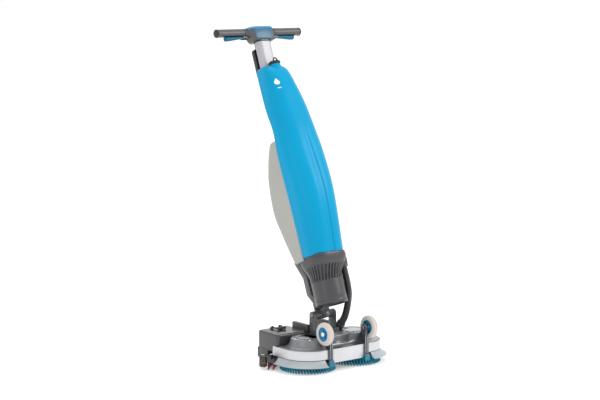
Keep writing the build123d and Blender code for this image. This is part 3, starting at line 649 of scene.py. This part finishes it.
# ---------------------------------------------------------------- transport wheels
WHEEL = (-93.0, 138.0)  # y and z of the axle
for side_name, side in SIDES.items():
    axis = (side, 0, 0)
    tyre = Shape(DECK)
    profile = [
        (25.2, 90.6), (30, 90.4), (34.5, 90.1), (37.4, 90.9), (39.4, 92.8), (40.5, 95.6), (40.9, 98.6),
        (40.9, 99.3), (40.3, 99.7), (40.3, 101.3), (40.9, 101.7), (40.9, 102.4), (40.5, 105.4),
        (39.4, 108.2), (37.4, 110.1), (34.5, 110.9), (30, 110.6), (25.2, 110.4),
    ]
    tyre.hoop((0, *WHEEL), axis, profile, 72)
    tyre.piece(f"tyre_{side_name}", f"wheel_{side_name}", "tyre", (f"wheel_tyre_{side_name}",))
    hub = Shape(DECK)
    profile = [
        (5.4, 99), (9.6, 99), (9.9, 92.0), (11, 91.2), (13, 96), (19.6, 96.6), (21.6, 91.4),
        (24.9, 91.1), (25.1, 92), (25.1, 109.2), (24.4, 110.2), (22.2, 110.3), (20.6, 106.6),
        (13.2, 104.6), (11.4, 109.4), (9.8, 109.9), (9.4, 109.5), (9.3, 100), (5.4, 100),
    ]
    hub.hoop((0, *WHEEL), axis, profile, 64)
    for k in range(6):
        spoke = Vector((side * 106.3, 0, 0)) + Vector((0, cos(tau * k / 6), sin(tau * k / 6))) * 16.6
        turn = Matrix.Rotation(tau * k / 6, 3, "X")
        hub.box((spoke.x - 1.2, spoke.x + 1.2), (WHEEL[0] + spoke.y - 4.4, WHEEL[0] + spoke.y + 4.4),
                (WHEEL[1] + spoke.z - 1.1, WHEEL[1] + spoke.z + 1.1), 0.5, 2, turn)
    hub.piece(f"hub_{side_name}", f"wheel_{side_name}", "hub_blue", (f"wheel_hub_{side_name}",))

    inner_face = Shape(DECK)
    inner_face.lathe((0, *WHEEL), axis, [
        (10.4, 91.4), (11.2, 90.9), (13, 95.5), (19.6, 96.1), (21.4, 91.0), (24.7, 90.8), (24.9, 92.0),
    ], 64, ends=(False, False))
    inner_face.piece(f"hub_inner_{side_name}", f"wheel_{side_name}", "teal_plastic",
                     slot=node_slot[f"wheel_hub_{side_name}"])

# Axles and end caps in white: painted glint on the bolts.
bolts = Shape(DECK)
for side in SIDES.values():
    axis = (side, 0, 0)
    bolts.rod((side * 68.5, *WHEEL), axis, 42, 4.9, 0.5)
    bolts.lathe((side * 110.5, *WHEEL), axis, [
        (8, 0), (8, 0.8), (7.4, 1.7), (5.8, 2.5), (3.4, 2.9), (3.0, 1.6), (0.3, 1.6),
    ], 36)
bolts.piece("axle_bolts_glint", "deck", "bolt_glint_white", ("wheel_bolts",))
nuts = Shape(DECK)
for side in SIDES.values():
    nuts.rod((side * 68.4, *WHEEL), (side, 0, 0), 5.6, 7.9, 0.8, 6)
nuts.piece("axle_nuts", "deck", "joint_steel", slot=node_slot["wheel_bolts"])

# ---------------------------------------------------------------- brushes
random.seed(7)
for side_name, side in SIDES.items():
    centre = Vector((side * BRUSH_X, 0, 0))
    outer_rows, inner_rows = Shape(DECK), Shape(DECK)
    for top_r, foot_r, count, spread in (
        (87.4, 96.4, 54, 3.0), (75, 78.5, 46, 3.0), (61, 62, 38, 3.0), (46, 45, 28, 3.0),
    ):
        tufts = outer_rows if top_r > 80 else inner_rows
        for k in range(count):
            angle = tau * (k + 0.5 * (top_r < 80)) / count
            out = Vector((cos(angle), sin(angle), 0))
            along = Vector((-sin(angle), cos(angle), 0))
            strands = [(0, 0)] + [(cos(tau * i / 6), sin(tau * i / 6)) for i in range(6)]
            quarter = [tau * (i + 0.5) / 4 for i in range(4)]
            strands += [(0.55 * cos(a), 0.55 * sin(a)) for a in quarter]
            for u, v in strands:
                jitter = Vector((random.uniform(-0.3, 0.3), random.uniform(-0.3, 0.3), 0))
                top = centre + out * (top_r + 2.1 * u) + along * 2.1 * v + Vector((0, 0, 28.2))
                foot = centre + out * (foot_r + spread * u) + along * (spread - 0.7) * v + jitter
                foot.z = random.uniform(0.15, 1.1)
                middle = (top + foot) / 2 + jitter * 0.5
                tufts.tube([top, middle, foot], [0.95, 0.95, 0.7], 5)
    outer_rows.piece(f"tufts_{side_name}", f"brush_{side_name}", "bristles", (f"bristles_{side_name}",),
                     angle=60)
    # The inner rows are painted darker, as shade between the outer tufts.
    inner_rows.piece(f"inner_tufts_{side_name}", f"brush_{side_name}", "bristles_painted_shade", slot="bristles",
                     angle=60)
    disc = Shape(DECK)
    disc.hoop(centre, UPRIGHT, [
        (36, 28), (90.6, 28), (91.8, 28.6), (92, 30), (92, 33), (91, 34.8), (88, 35), (60.5, 35),
        (60, 35.6), (59.6, 40.4), (58.6, 41), (21, 41), (20.2, 41.6), (20, 43), (20, 65), (19.2, 66),
        (7.3, 66), (7.1, 65), (7.1, 40), (36, 38),
    ], 96)
    for k in range(12):
        angle = tau * k / 12
        place = centre + Vector((cos(angle), sin(angle), 0)) * 75
        turn = Matrix.Rotation(angle, 3, "Z")
        disc.box((place.x - 12, place.x + 12), (place.y - 1.5, place.y + 1.5), (34, 39.5), 0.7, 2, turn)
    disc.piece(f"disc_{side_name}", f"brush_{side_name}", "dark_plastic", (f"brush_plate_{side_name}",))


# ---------------------------------------------------------------- deck
def lobes(radius, rear, z):
    """Outline of the deck: straight front, a quarter round each lobe, straight sides and back."""
    half = [(0, -radius), (35, -radius), (70, -radius)] + arc_points(BRUSH_X, 0, radius, -90, 0, 27)
    half += [(BRUSH_X + radius, rear * 0.5), (BRUSH_X + radius, rear), (60, rear), (0, rear)]
    return at_level(mirrored(half), z)


body = Shape(DECK)
body.loft([lobes(*level) for level in (
    (91.5, 46, 76), (91.5, 46, 49.8), (95.4, 49.8, 49.7), (95.7, 50, 50.2), (95.7, 50, 78.2),
    (95.2, 49.6, 79.8), (94, 49, 81.2), (92.4, 48, 81.9), (90, 47, 82),
)])
HAT = [
    (80, 81.4), (77.5, 82.2), (73, 84), (69.6, 87), (67, 91), (65, 96), (63.4, 101), (62, 106),
    (60.8, 108.8), (59.4, 110.8), (57.4, 111.7), (54.8, 112), (40, 112), (38.6, 111.4), (37.4, 111.4),
    (36, 112), (0.5, 112),
]
for side in SIDES.values():
    body.lathe((side * BRUSH_X, 0, 0), UPRIGHT, HAT, 96)
rings = []
for k in range(41):
    x = BRUSH_X * (k / 20 - 1)
    profile = [
        (49.4, 81), (49.8, 84), (49.9, 108), (49.2, 110.6), (47, 111.8), (44.6, 112), (-30, 112),
        (-33.6, 111.6), (-36, 110.2), (-37.4, 107.6), (-38.2, 103), (-39, 98), (-40.2, 92),
        (-42, 87.4), (-45, 84), (-49, 82.2), (-51, 81),
    ]
    rings.append([(x, y, z) for y, z in profile])
body.loft(rings)
for side in SIDES.values():  # cooling slots behind each dome, and a raised pad along the bridge
    for k in range(7):
        x = side * (72 + 9.5 * k)
        body.box((x - 1.6, x + 1.6), (49.2, 50.6), (88, 104), 0.6, 2)
body.box((-56, 56), (-24, 26), (111.4, 113.2), 0.9, 3)
body.piece("deck_body", "deck", "deck_grey", ("deck_cover",), angle=42)

plateau = Shape(DECK)
outline = arc_points(118, -6, 24, -90, 90, 18) + [(66, 18), (62, 14), (62, -26), (66, -30)]
plateau.loft([at_level(outline, 111.9), at_level(outline, 113.4),
              at_level([(90 + (x - 90) * 0.975, -6 + (y + 6) * 0.96) for x, y in outline], 114.2)])
plateau.piece("dome_plate", "deck", "pale_trim_and_highlight", slot="deck_grey", angle=30)

# Black discs on the plate and on the deck top stand for holes: painted shade of the holes' insides.
slots = Shape(DECK)
for a in range(-60, 61, 6):
    p = Vector((118 + 15 * cos(radians(a)), -6 + 15 * sin(radians(a)), 114.1))
    slots.rod(p, UPRIGHT, 0.5, 1.7, 0.2, 14)
for side in SIDES.values():
    slots.lathe((side * 96, -55.5, 112), UPRIGHT, [(2.6, 0.2), (2.6, 0.62), (0.3, 0.62)], 24)
slots.piece("dome_hole_shade", "deck", "black_plastic", slot="dark_plastic")

screws = Shape(DECK)
for side in SIDES.values():
    for angle in (0, -60, -120):
        turn = radians(angle if side > 0 else 180 - angle)
        x, y = side * BRUSH_X + 55 * cos(turn), 55 * sin(turn)
        screws.lathe((x, y, 111.4), UPRIGHT, [
            (4.0, 0), (4.0, 1.8), (3.5, 2.6), (2.4, 2.95), (1.7, 3.0), (1.5, 1.6), (0.2, 1.6),
        ], 28)
screws.piece("dome_screws", "deck", "steel", ("deck_screws",))


def round_lobes(shape, radius, rear, section):
    """Band round both lobes from wheel arm to rear, with a section of (outward, up) points."""
    line = [((86.2 + (BRUSH_X - 86.2) * i / 3, -radius), (0, -1)) for i in range(3)]
    for i in range(35):
        a = radians(-90 + 90 * i / 34)
        line.append(((BRUSH_X + radius * cos(a), radius * sin(a)), (cos(a), sin(a))))
    line += [((BRUSH_X + radius, rear * t), (1, 0)) for t in (0.25, 0.5, 0.75, 1.0)]
    for side in SIDES.values():
        shape.loft([[(side * (x + u * out), y + v * out, z) for out, z in section]
                    for (x, y), (u, v) in line])


bands = Shape(DECK)
round_lobes(bands, LOBE_R, 75, (
    (-3, 48.4), (-2.6, 47.7), (-0.8, 47.6), (-0.3, 48), (-0.05, 49.4), (0, 52), (0, 58), (-0.1, 64),
    (-0.3, 70), (-0.5, 75), (-0.8, 78.2), (-1.3, 79.5), (-2.0, 79.95), (-2.7, 79.6), (-3, 78.8),
))
bands.piece("lobe_bands", "deck", "silver_band", ("bumper_bands",), angle=30)

flare = Shape(DECK)
SKIRT = [
    (94.4, 47), (97.2, 47.1), (98.6, 45.8), (101, 42), (105, 37), (110, 32.4), (115.6, 28.6),
    (120.4, 26.6), (121.8, 25.9), (121.9, 25.2), (121, 24.7), (119.2, 24.8), (114, 26.8), (108, 30.6),
    (102.4, 35.4), (98, 40.6), (95.4, 44.6),
]
for side in SIDES.values():
    rings = []
    for i in range(45):
        a = radians(-90 + 90 * i / 44)
        rings.append([(side * (BRUSH_X + r * cos(a)), r * sin(a), z) for r, z in SKIRT])
    for y in (10, 20, 31, 41.8):
        rings.append([(side * (BRUSH_X + r), y, z) for r, z in SKIRT])
    flare.loft(rings)
flare.piece("flared_skirts", "deck", "skirt", ("splash_skirts",), angle=40)

plate = Shape(DECK)
outline = [(-73.8, 81), (73.8, 81), (73.8, 50)] + arc_points(61.8, 43.2, 12, 0, -90, 12)
outline += [(30, 31.2), (-30, 31.2)] + arc_points(-61.8, 43.2, 12, 270, 180, 12) + [(-73.8, 50)]
rings = []
for y, inset in ((-96.1, 0.0), (-98.2, 0.0), (-98.8, 0.4), (-99, 1.1)):
    rings.append([(x * (1 - inset / 74), y, 56 + (z - 56) * (1 - inset / 25)) for x, z in outline])
plate.loft(rings)
plate.box((-60, 60), (-99.1, -98.4), (70, 72.6), 0.3, 2)
plate.box((-58, 58), (-99.1, -98.4), (39, 40.4), 0.3, 2)
plate.piece("front_plate_face", "deck", "silver_band", ("front_plate",))

# ---------------------------------------------------------------- wheel arms and fairing
HALF = 74.3
ARCH = (HALF ** 2 + 26 ** 2) / 52


def fairing_point(t, depth):
    """Point on the fairing's section (y, z): t runs up the curve, depth goes inwards."""
    ys = (-99.0, -91.0, -84.6, -80.4, -77.6, -76.0)
    zs = (82.6, 84.8, 89.6, 96.6, 106.0, 118.0)
    y, z = smooth(range(6), ys, t * 5), smooth(range(6), zs, t * 5)
    return y + depth * ease(0.25 + t), z - depth * (1 - ease(t)) * 0.1


fairing = Shape(DECK)
rings = []
for k in range(61):
    x = -HALF + 2 * HALF * k / 60
    top = 92.6 + ARCH - sqrt(ARCH ** 2 - min(abs(x), HALF - 0.1) ** 2)
    reach = max(t / 60 for t in range(61) if fairing_point(t / 60, 0)[1] <= top)
    front = [fairing_point(reach * i / 18, 0) for i in range(19)]
    rear = [fairing_point(reach * i / 18, 4.2) for i in range(18, -1, -1)]
    crown = [(front[-1][0] + 1.1, front[-1][1] + 0.7), (rear[0][0] - 1.0, rear[0][1] + 0.7)]
    rings.append([(x, y, max(z, 82.4)) for y, z in front + crown + rear])
fairing.loft(rings)
for side in SIDES.values():
    outline = [
        (-103.1, 23.2), (-101.8, 22.1), (-99.9, 22.6), (-99.4, 24), (-99.4, 82.4), (-80.5, 82.6),
        (-77, 88), (-75.2, 99), (-74.2, 116), (-76, 124), (-80.1, 138),
    ]
    outline += arc_points(-93, 138, 13, 0, 180, 22)
    outline += [(-105.6, 130), (-103.6, 112), (-103.3, 90)]
    rings = []
    for x, inset in ((74.3, 0.8), (74.7, 0.2), (75.4, 0.0), (84.4, 0.0), (85.2, 0.2), (85.7, 0.9)):
        ring = []
        n = len(outline)
        for i, (y, z) in enumerate(outline):
            a, b = outline[i - 1], outline[(i + 1) % n]
            normal = Vector((b[1] - a[1], a[0] - b[0])).normalized()
            ring.append((side * x, y - normal.x * inset, z - normal.y * inset))
        rings.append(ring)
    fairing.loft(rings)
fairing.piece("arms_and_fairing", "deck", "deck_dark", ("wheel_bracket",), angle=40)

arm_faces = Shape(DECK)
for side in SIDES.values():
    x = sorted((side * 71.5, side * 91))
    arm_faces.box(x, (-103.9, -99.4), (22.5, 84), 1.6, 3)
arm_faces.piece("arm_faces", "deck", "deck_dark", slot="dark_plastic")

under = Shape(DECK)
round_lobes(under, 98.6, 70, ((-3, 43.8), (0, 43.8), (0, 47.2), (-3, 47.2)))
under.piece("band_shadow_strip", "deck", "black_plastic", slot="dark_plastic")

# Thin pale lines down the front edges of the wheel arms: painted highlight on the edges.
edge_highlights = Shape(DECK)
for side in SIDES.values():
    for x in (75.2, 84.8):
        edge_highlights.tube([(side * x, -103.5, z) for z in (48, 70, 90, 111)], [0.55] * 4, 10)
    edge_highlights.tube([(side * 76.5, -104.5, z) for z in (112, 124, 134)], [0.5] * 3, 10)
edge_highlights.piece("arm_edge_highlights", "deck", "pale_trim_and_highlight", slot="dark_plastic")

clips = Shape(DECK)
for side in SIDES.values():
    x = sorted((side * 70.5, side * 92))
    clips.box(x, (-109.4, -103.8), (20.4, 43.8), 2.2, 4)
    for low in (26, 31):
        clips.box((x[0] + 3.5, x[1] - 3.5), (-109.55, -108.9), (low, low + 2), 0.5, 2)
clips.piece("arm_clips", "deck", "teal_plastic", ("wheel_clips",))


# ---------------------------------------------------------------- battery and middle block
def slab(shape, x, y, z, corner, top_edge=4.0, foot_edge=1.5):
    """Upright block with round corners, a rounded top edge and a small foot edge."""
    def ring(inset, level):
        r = max(corner - inset, 0.6)
        out = []
        for cx, cy, start in ((x[1] - inset - r, y[1] - inset - r, 0),
                              (x[0] + inset + r, y[1] - inset - r, 90),
                              (x[0] + inset + r, y[0] + inset + r, 180),
                              (x[1] - inset - r, y[0] + inset + r, 270)):
            out += arc_points(cx, cy, r, start, start + 90, 8)
        return at_level(out, level)

    rings = [ring(foot_edge * (1 - sin(t)), z[0] + foot_edge * (1 - cos(t))) for t in quarter_turn(3)]
    rings += [ring(top_edge * (1 - cos(t)), z[1] - top_edge * (1 - sin(t))) for t in quarter_turn(6)]
    shape.loft(rings)


pack = Shape(DECK)
BATTERY_X, BATTERY_REAR = (-198, -64), 172
slab(pack, BATTERY_X, (53, BATTERY_REAR), (61.6, 121.8), 12, 6.5, 0.8)
for low in (106, 150):
    pack.box((-low - 6, -low), (144, 155), (118, 130.4), 2.0, 3)
pack.box((-181.9, -176), (74, 96), (120.92, 122.0), 0.3, 2)
pack.piece("battery_shell", "battery", "battery_dark", ("battery",), "dark_plastic", angle=36)

pack_marks = Shape(DECK)
for k in range(4):
    pack_marks.rod((-150 + 8 * k, 62, 121.7), UPRIGHT, 0.5, 1.9, 0.2, 18)
pack_marks.box((-152, -112), (171.2, 172), (98, 108), 0.4, 2)
for k in range(6):
    pack_marks.box((-197.95, -197.3), (78 + 12 * k, 84 + 12 * k), (70, 72), 0.3, 2)
pack_marks.piece("battery_lamps", "battery", "pale_trim_and_highlight", slot="dark_plastic")

handle = Shape(DECK)
for low, high in ((-118, -113), (-149, -144)):
    handle.box((low, high), (117, 151), (125, 130), 1.4, 3)
    handle.rod((low, 150, 127.5), (1, 0, 0), 5, 5, 0.7)
handle.tube([(x, 118, 127.5) for x in (-149, -146, -131, -116, -113)], [4.6, 5, 5, 5, 4.6], 22)
for low in (-118, -155):
    handle.rod((low, 150, 127.5), (1, 0, 0), 11, 3, 0.3)
handle.piece("battery_handle", "bail", "dark_plastic", ("battery_bail",))

shelf = Shape(DECK)
slab(shelf, BATTERY_X, (54, BATTERY_REAR), (58.3, 61.3), 8, 0.5, 0.5)
shelf.box((-198, -192), (112, BATTERY_REAR), (25, 60), 1.4, 3)
shelf.box((-198, -104), (166, BATTERY_REAR), (25, 60), 1.4, 3)
for k in range(4):
    shelf.box((-182 + 20 * k, -178 + 20 * k), (171.4, 172), (30, 54), 0.3, 2)
shelf.piece("tray_shell", "deck", "battery_dark", ("battery_tray",), "dark_plastic")

low_cover = Shape(DECK)
slab(low_cover, (64, 198), (53, 158), (58.3, 86), 14, 6)
low_cover.piece("low_cover", "deck", "dark_plastic", ("side_cover",))
cover_lines = Shape(DECK)
for k in range(5):
    cover_lines.box((96 + 14 * k, 100 + 14 * k), (76, 136), (85.4, 86), 0.25, 2)
cover_lines.piece("cover_slots", "deck", "black_plastic", slot="dark_plastic")


# ---------------------------------------------------------------- handle
BAR = 1067.0  # handlebar, up the column
TUBE_Y = -12.5  # middle of the mast tube
TUBE_FOOT = 560


def handle_section(x, low=None, high=None):
    """Swelling section of the handlebar's centre: a soft block that narrows to the bar."""
    t = ease((abs(x) - 40) / 24)
    power = 5.5 + (2.0 - 5.5) * ease((abs(x) - 30) / 30)
    front, back = -36 + 20 * t, 20 - 4 * t
    foot, top = -39 + 23 * ease((abs(x) - 42) / 14), 17 - 1 * t
    cy, hy, cz, hz = (front + back) / 2, (back - front) / 2, (foot + top) / 2, (top - foot) / 2
    ring = []
    for i in range(72):
        a = tau * i / 72
        c, q = cos(a), sin(a)
        r = (abs(c) ** power + abs(q) ** power) ** (-1 / power)
        z = cz + hz * r * q
        if low is not None:
            z = max(z, low)
        if high is not None:
            z = min(z, high)
        ring.append((x, cy + hy * r * c, BAR + z))
    return ring


half = [0, 10, 20, 27, 33, 38, 42, 46, 49, 52, 56, 60, 64, 65.9]
stations = [-x for x in half[:0:-1]] + half
core = Shape(COLUMN)
core.loft([handle_section(x, high=3.0) for x in stations])
for side in SIDES.values():
    x = sorted((side * 44, side * 79))
    for y in ((-11, -8.4), (8.4, 11)):
        core.box(x, y, (BAR - 24, BAR - 15), 0.9, 2)
    core.rod((side * 64, 0, BAR), (side, 0, 0), 104, 5.9, 0.5)
core.piece("handle_centre", "handle", "grip_rubber", ("handle_core",), "dark_plastic", angle=46)

top = Shape(COLUMN)
top.loft([handle_section(x, low=3.4) for x in stations if abs(x) < 57])
top.piece("display_cover", "handle", "pod_blue", ("display_housing",), angle=46)

panel = Shape(COLUMN)
panel.box((-40, 40), (-36.6, -30), (BAR - 34, BAR + 3), 3.5, 4)
panel.box((-36, 36), (17, 20.5), (BAR - 38, BAR - 9), 2, 4)
panel.piece("handle_panel", "handle", "panel_teal", slot="dark_plastic")
# Black ring round the tube just under the handle block: painted shadow of the block.
shadow = Shape(COLUMN)
outline = arc_points(12.5, 0, 21, -90, 90, 14) + arc_points(-12.5, 0, 21, 90, 270, 14)
shadow.loft([[(x * k, TUBE_Y + y * k, BAR - z) for x, y in outline]
             for k, z in ((1.0, 42), (1.06, 41.4), (1.06, 38.5))])
shadow.piece("handle_foot_shadow", "handle", "black_plastic", slot="dark_plastic")

grip = Shape(COLUMN)
for side in SIDES.values():
    rings = []
    for x, slotted in (
        (66, 0), (66.6, 0), (70.4, 0), (70.5, 1), (162, 1), (162.1, 0), (183, 0), (185.4, 0), (186, 0),
    ):
        radius = 15.5 - (0.7 if x in (66, 186) else 0)
        ring = []
        for i in range(49):
            a = radians(6 * i - 54)
            flute = 0.25 * cos(18 * a) if 70 < x < 182 else 0.0
            ring.append((side * x, (radius + flute - 0.25) * cos(a),
                         BAR + (radius + flute - 0.25) * sin(a)))
        for i, y in enumerate((-8.9, -8.9, 0, 8.9, 8.9)):
            z = (-15.5 + (0.5 if abs(y) > 1 else 0)) if not slotted else (-8.2 if 0 < i < 4 else -12.3)
            depth = -sqrt(max(radius ** 2 - y ** 2, 0)) if not slotted else z
            ring.append((side * x, y, BAR + depth))
        rings.append(ring)
    grip.loft(rings)
grip.piece("grip_sleeves", "handle", "grip_rubber", ("grips",), angle=50)

ends = Shape(COLUMN)
for side in SIDES.values():
    ends.lathe((side * 186.1, 0, BAR), (side, 0, 0), [
        (15.2, 0), (16, 0.5), (16, 2.2), (15.4, 3.6), (13.8, 5.2), (11, 6.2), (6, 6.8), (0.4, 6.9),
    ], 56)
    ends.lathe((side * 66.2, 0, BAR), (side, 0, 0), [(15.5, -0.6), (16, 0), (16, 2.6), (15.4, 3.2)], 56)
ends.piece("bar_end_caps", "handle", "black_plastic", ("end_caps",))

for side_name, side in SIDES.items():
    lever = Shape(COLUMN)
    rings = []
    for x, inset in (
        (72, 1.6), (72.5, 0.6), (74, 0.1), (82, 0), (95, 0), (110, 0), (125, 0), (140, 0), (150, 0),
        (154.5, 0.2), (156.8, 0.9), (158, 2.4),
    ):
        foot = -22.5 - 7.5 * ease((x - 72) / 80) + (1.2 if x > 156 else 0)
        z0, z1 = foot + inset, -15.6 - inset * 0.4
        half = 8 - inset
        ring = []
        for i in range(24):
            a = tau * i / 24
            c, q = cos(a), sin(a)
            r = (abs(c) ** 3.4 + abs(q) ** 3.4) ** (-1 / 3.4)
            ring.append((side * x, half * r * c, BAR + (z0 + z1) / 2 + (z1 - z0) / 2 * r * q))
        rings.append(ring)
    lever.loft(rings)
    lever.piece(f"trigger_wedge_{side_name}", node_body[f"trigger_{side_name}"], "trigger_teal",
                (f"trigger_{side_name}",), angle=44)

mast = Shape(COLUMN)
stadium = []
for cx, cy, start in ((13, 1, 0), (-13, 1, 90), (-13, -1, 180), (13, -1, 270)):
    stadium += arc_points(cx, cy, 18, start, start + 90, 14)
inner = [(x * 0.935, y * 0.894) for x, y in stadium]
rings = [[(x, y + TUBE_Y, s) for x, y in outline] for outline, s in (
    (inner, TUBE_FOOT), (stadium, TUBE_FOOT + 0.1), (stadium, BAR - 24.1), (inner, BAR - 24.0),
)]
mast.loft(rings, ends=(False, True))
mast.piece("mast_shell", "handle", "mast_aluminium", ("mast_tube",), angle=60)

# ---------------------------------------------------------------- squeegee
ROLLER = (239, 83)  # x and y of the axis
for side_name, side in SIDES.items():
    roller = Shape(DECK)
    roller.hoop((side * ROLLER[0], ROLLER[1], 0), UPRIGHT, [
        (4.1, 10), (11, 10), (13, 10.7), (13.9, 12.6), (14, 14), (14, 17), (13.4, 17.6), (13.4, 19),
        (14, 19.6), (14, 36.4), (13.4, 37), (13.4, 38.4), (14, 39), (14, 42), (13.9, 43.4), (13, 45.3),
        (11, 46), (4.1, 46),
    ], 56)
    roller.piece(f"roller_{side_name}", node_body[f"squeegee_roller_{side_name}"], "roller_dark",
                 (f"squeegee_roller_{side_name}",))
    band = Shape(DECK)
    band.lathe((side * ROLLER[0], ROLLER[1], 0), UPRIGHT, [
        (13.2, 19.8), (14.0, 20.0), (14.0, 36.0), (13.2, 36.2),
    ], 56, ends=(False, False))
    band.piece(f"roller_band_{side_name}", node_body[f"squeegee_roller_{side_name}"], "roller_brass",
               slot=node_slot[f"squeegee_roller_{side_name}"])
fixings = Shape(DECK)
for side in SIDES.values():
    for a in (12, 24, 34):
        turn = radians(90 - side * a)
        place = (305 * cos(turn), -148 + 305 * sin(turn))
        fixings.lathe((*place, 37.8), UPRIGHT, [
            (5.2, 0), (5.2, 3.4), (4.6, 4.4), (1.8, 4.6), (1.6, 3.2), (0.2, 3.2),
        ], 6)
fixings.piece("squeegee_nuts", "squeegee", "steel", slot="steel")

# ---------------------------------------------------------------- softened CAD shapes
for node, width, *finish in (
    ("chassis_plate", 0.8), ("power_module", 2.0), ("base_fork", 1.4), ("pivot_block", 1.2),
    ("column_yoke", 2.0), ("suction_elbow", 0.9), ("spine", 1.2), ("clamp_lever", 2.6, "black_plastic"),
    ("mast_channel", 1.2, "black_plastic"), ("squeegee_holder", 1.0), ("squeegee_blades", 0.5),
    ("tilt_pins", 0.8, "joint_steel"), ("roll_pin", 0.8, "joint_steel"), ("clamp_pin", 0.6),
    ("display_lens", 0.3), ("trigger_pins", 0.4, "joint_steel"), ("roller_bolts", 0.7),
    ("power_button", 0.3), ("mode_button", 0.3),
):
    soften(node, width, *finish)

# ---------------------------------------------------------------- every CAD node's finish
for node, thing in frame["nodes"].items():
    thing.data.materials.clear()
    thing.data.materials.append(FINISH[node_slot[node]])

# ---------------------------------------------------------------- studio
studio_floor = bpy.data.meshes.new("studio_floor")
studio_floor.from_pydata([(-60, -60, 0), (60, -60, 0), (60, 60, 0), (-60, 60, 0)], [], [(0, 1, 2, 3)])
ground = bpy.data.objects.new("studio_floor", studio_floor)
bpy.context.scene.collection.objects.link(ground)
floor_mat = material("floor", (236, 236, 236), 0.7, second=(239, 239, 239), patch=2, spec=0.1, glow=0.3)
studio_floor.materials.append(floor_mat)

world = bpy.data.worlds.new("world")
world.use_nodes = True
background = world.node_tree.nodes["Background"].inputs
background["Color"].default_value = (1, 1, 1, 1)
background["Strength"].default_value = 1.0
bpy.context.scene.world = world


def softbox(name, place, size, power):
    """Large soft light aimed at the machine."""
    data = bpy.data.lights.new(name, "AREA")
    data.shape = "RECTANGLE"
    data.size, data.size_y = size
    data.energy = power
    light = bpy.data.objects.new(name, data)
    light.location = place
    light.rotation_euler = (Vector((0, 0, 0.55)) - Vector(place)).to_track_quat("-Z", "Y").to_euler()
    bpy.context.scene.collection.objects.link(light)


softbox("key", (3.2, -3.6, 3.6), (2.0, 2.0), 105)
softbox("fill", (-4.2, -1.2, 2.0), (2.4, 2.4), 16)
softbox("top", (0.4, 1.2, 4.4), (3.0, 3.0), 44)
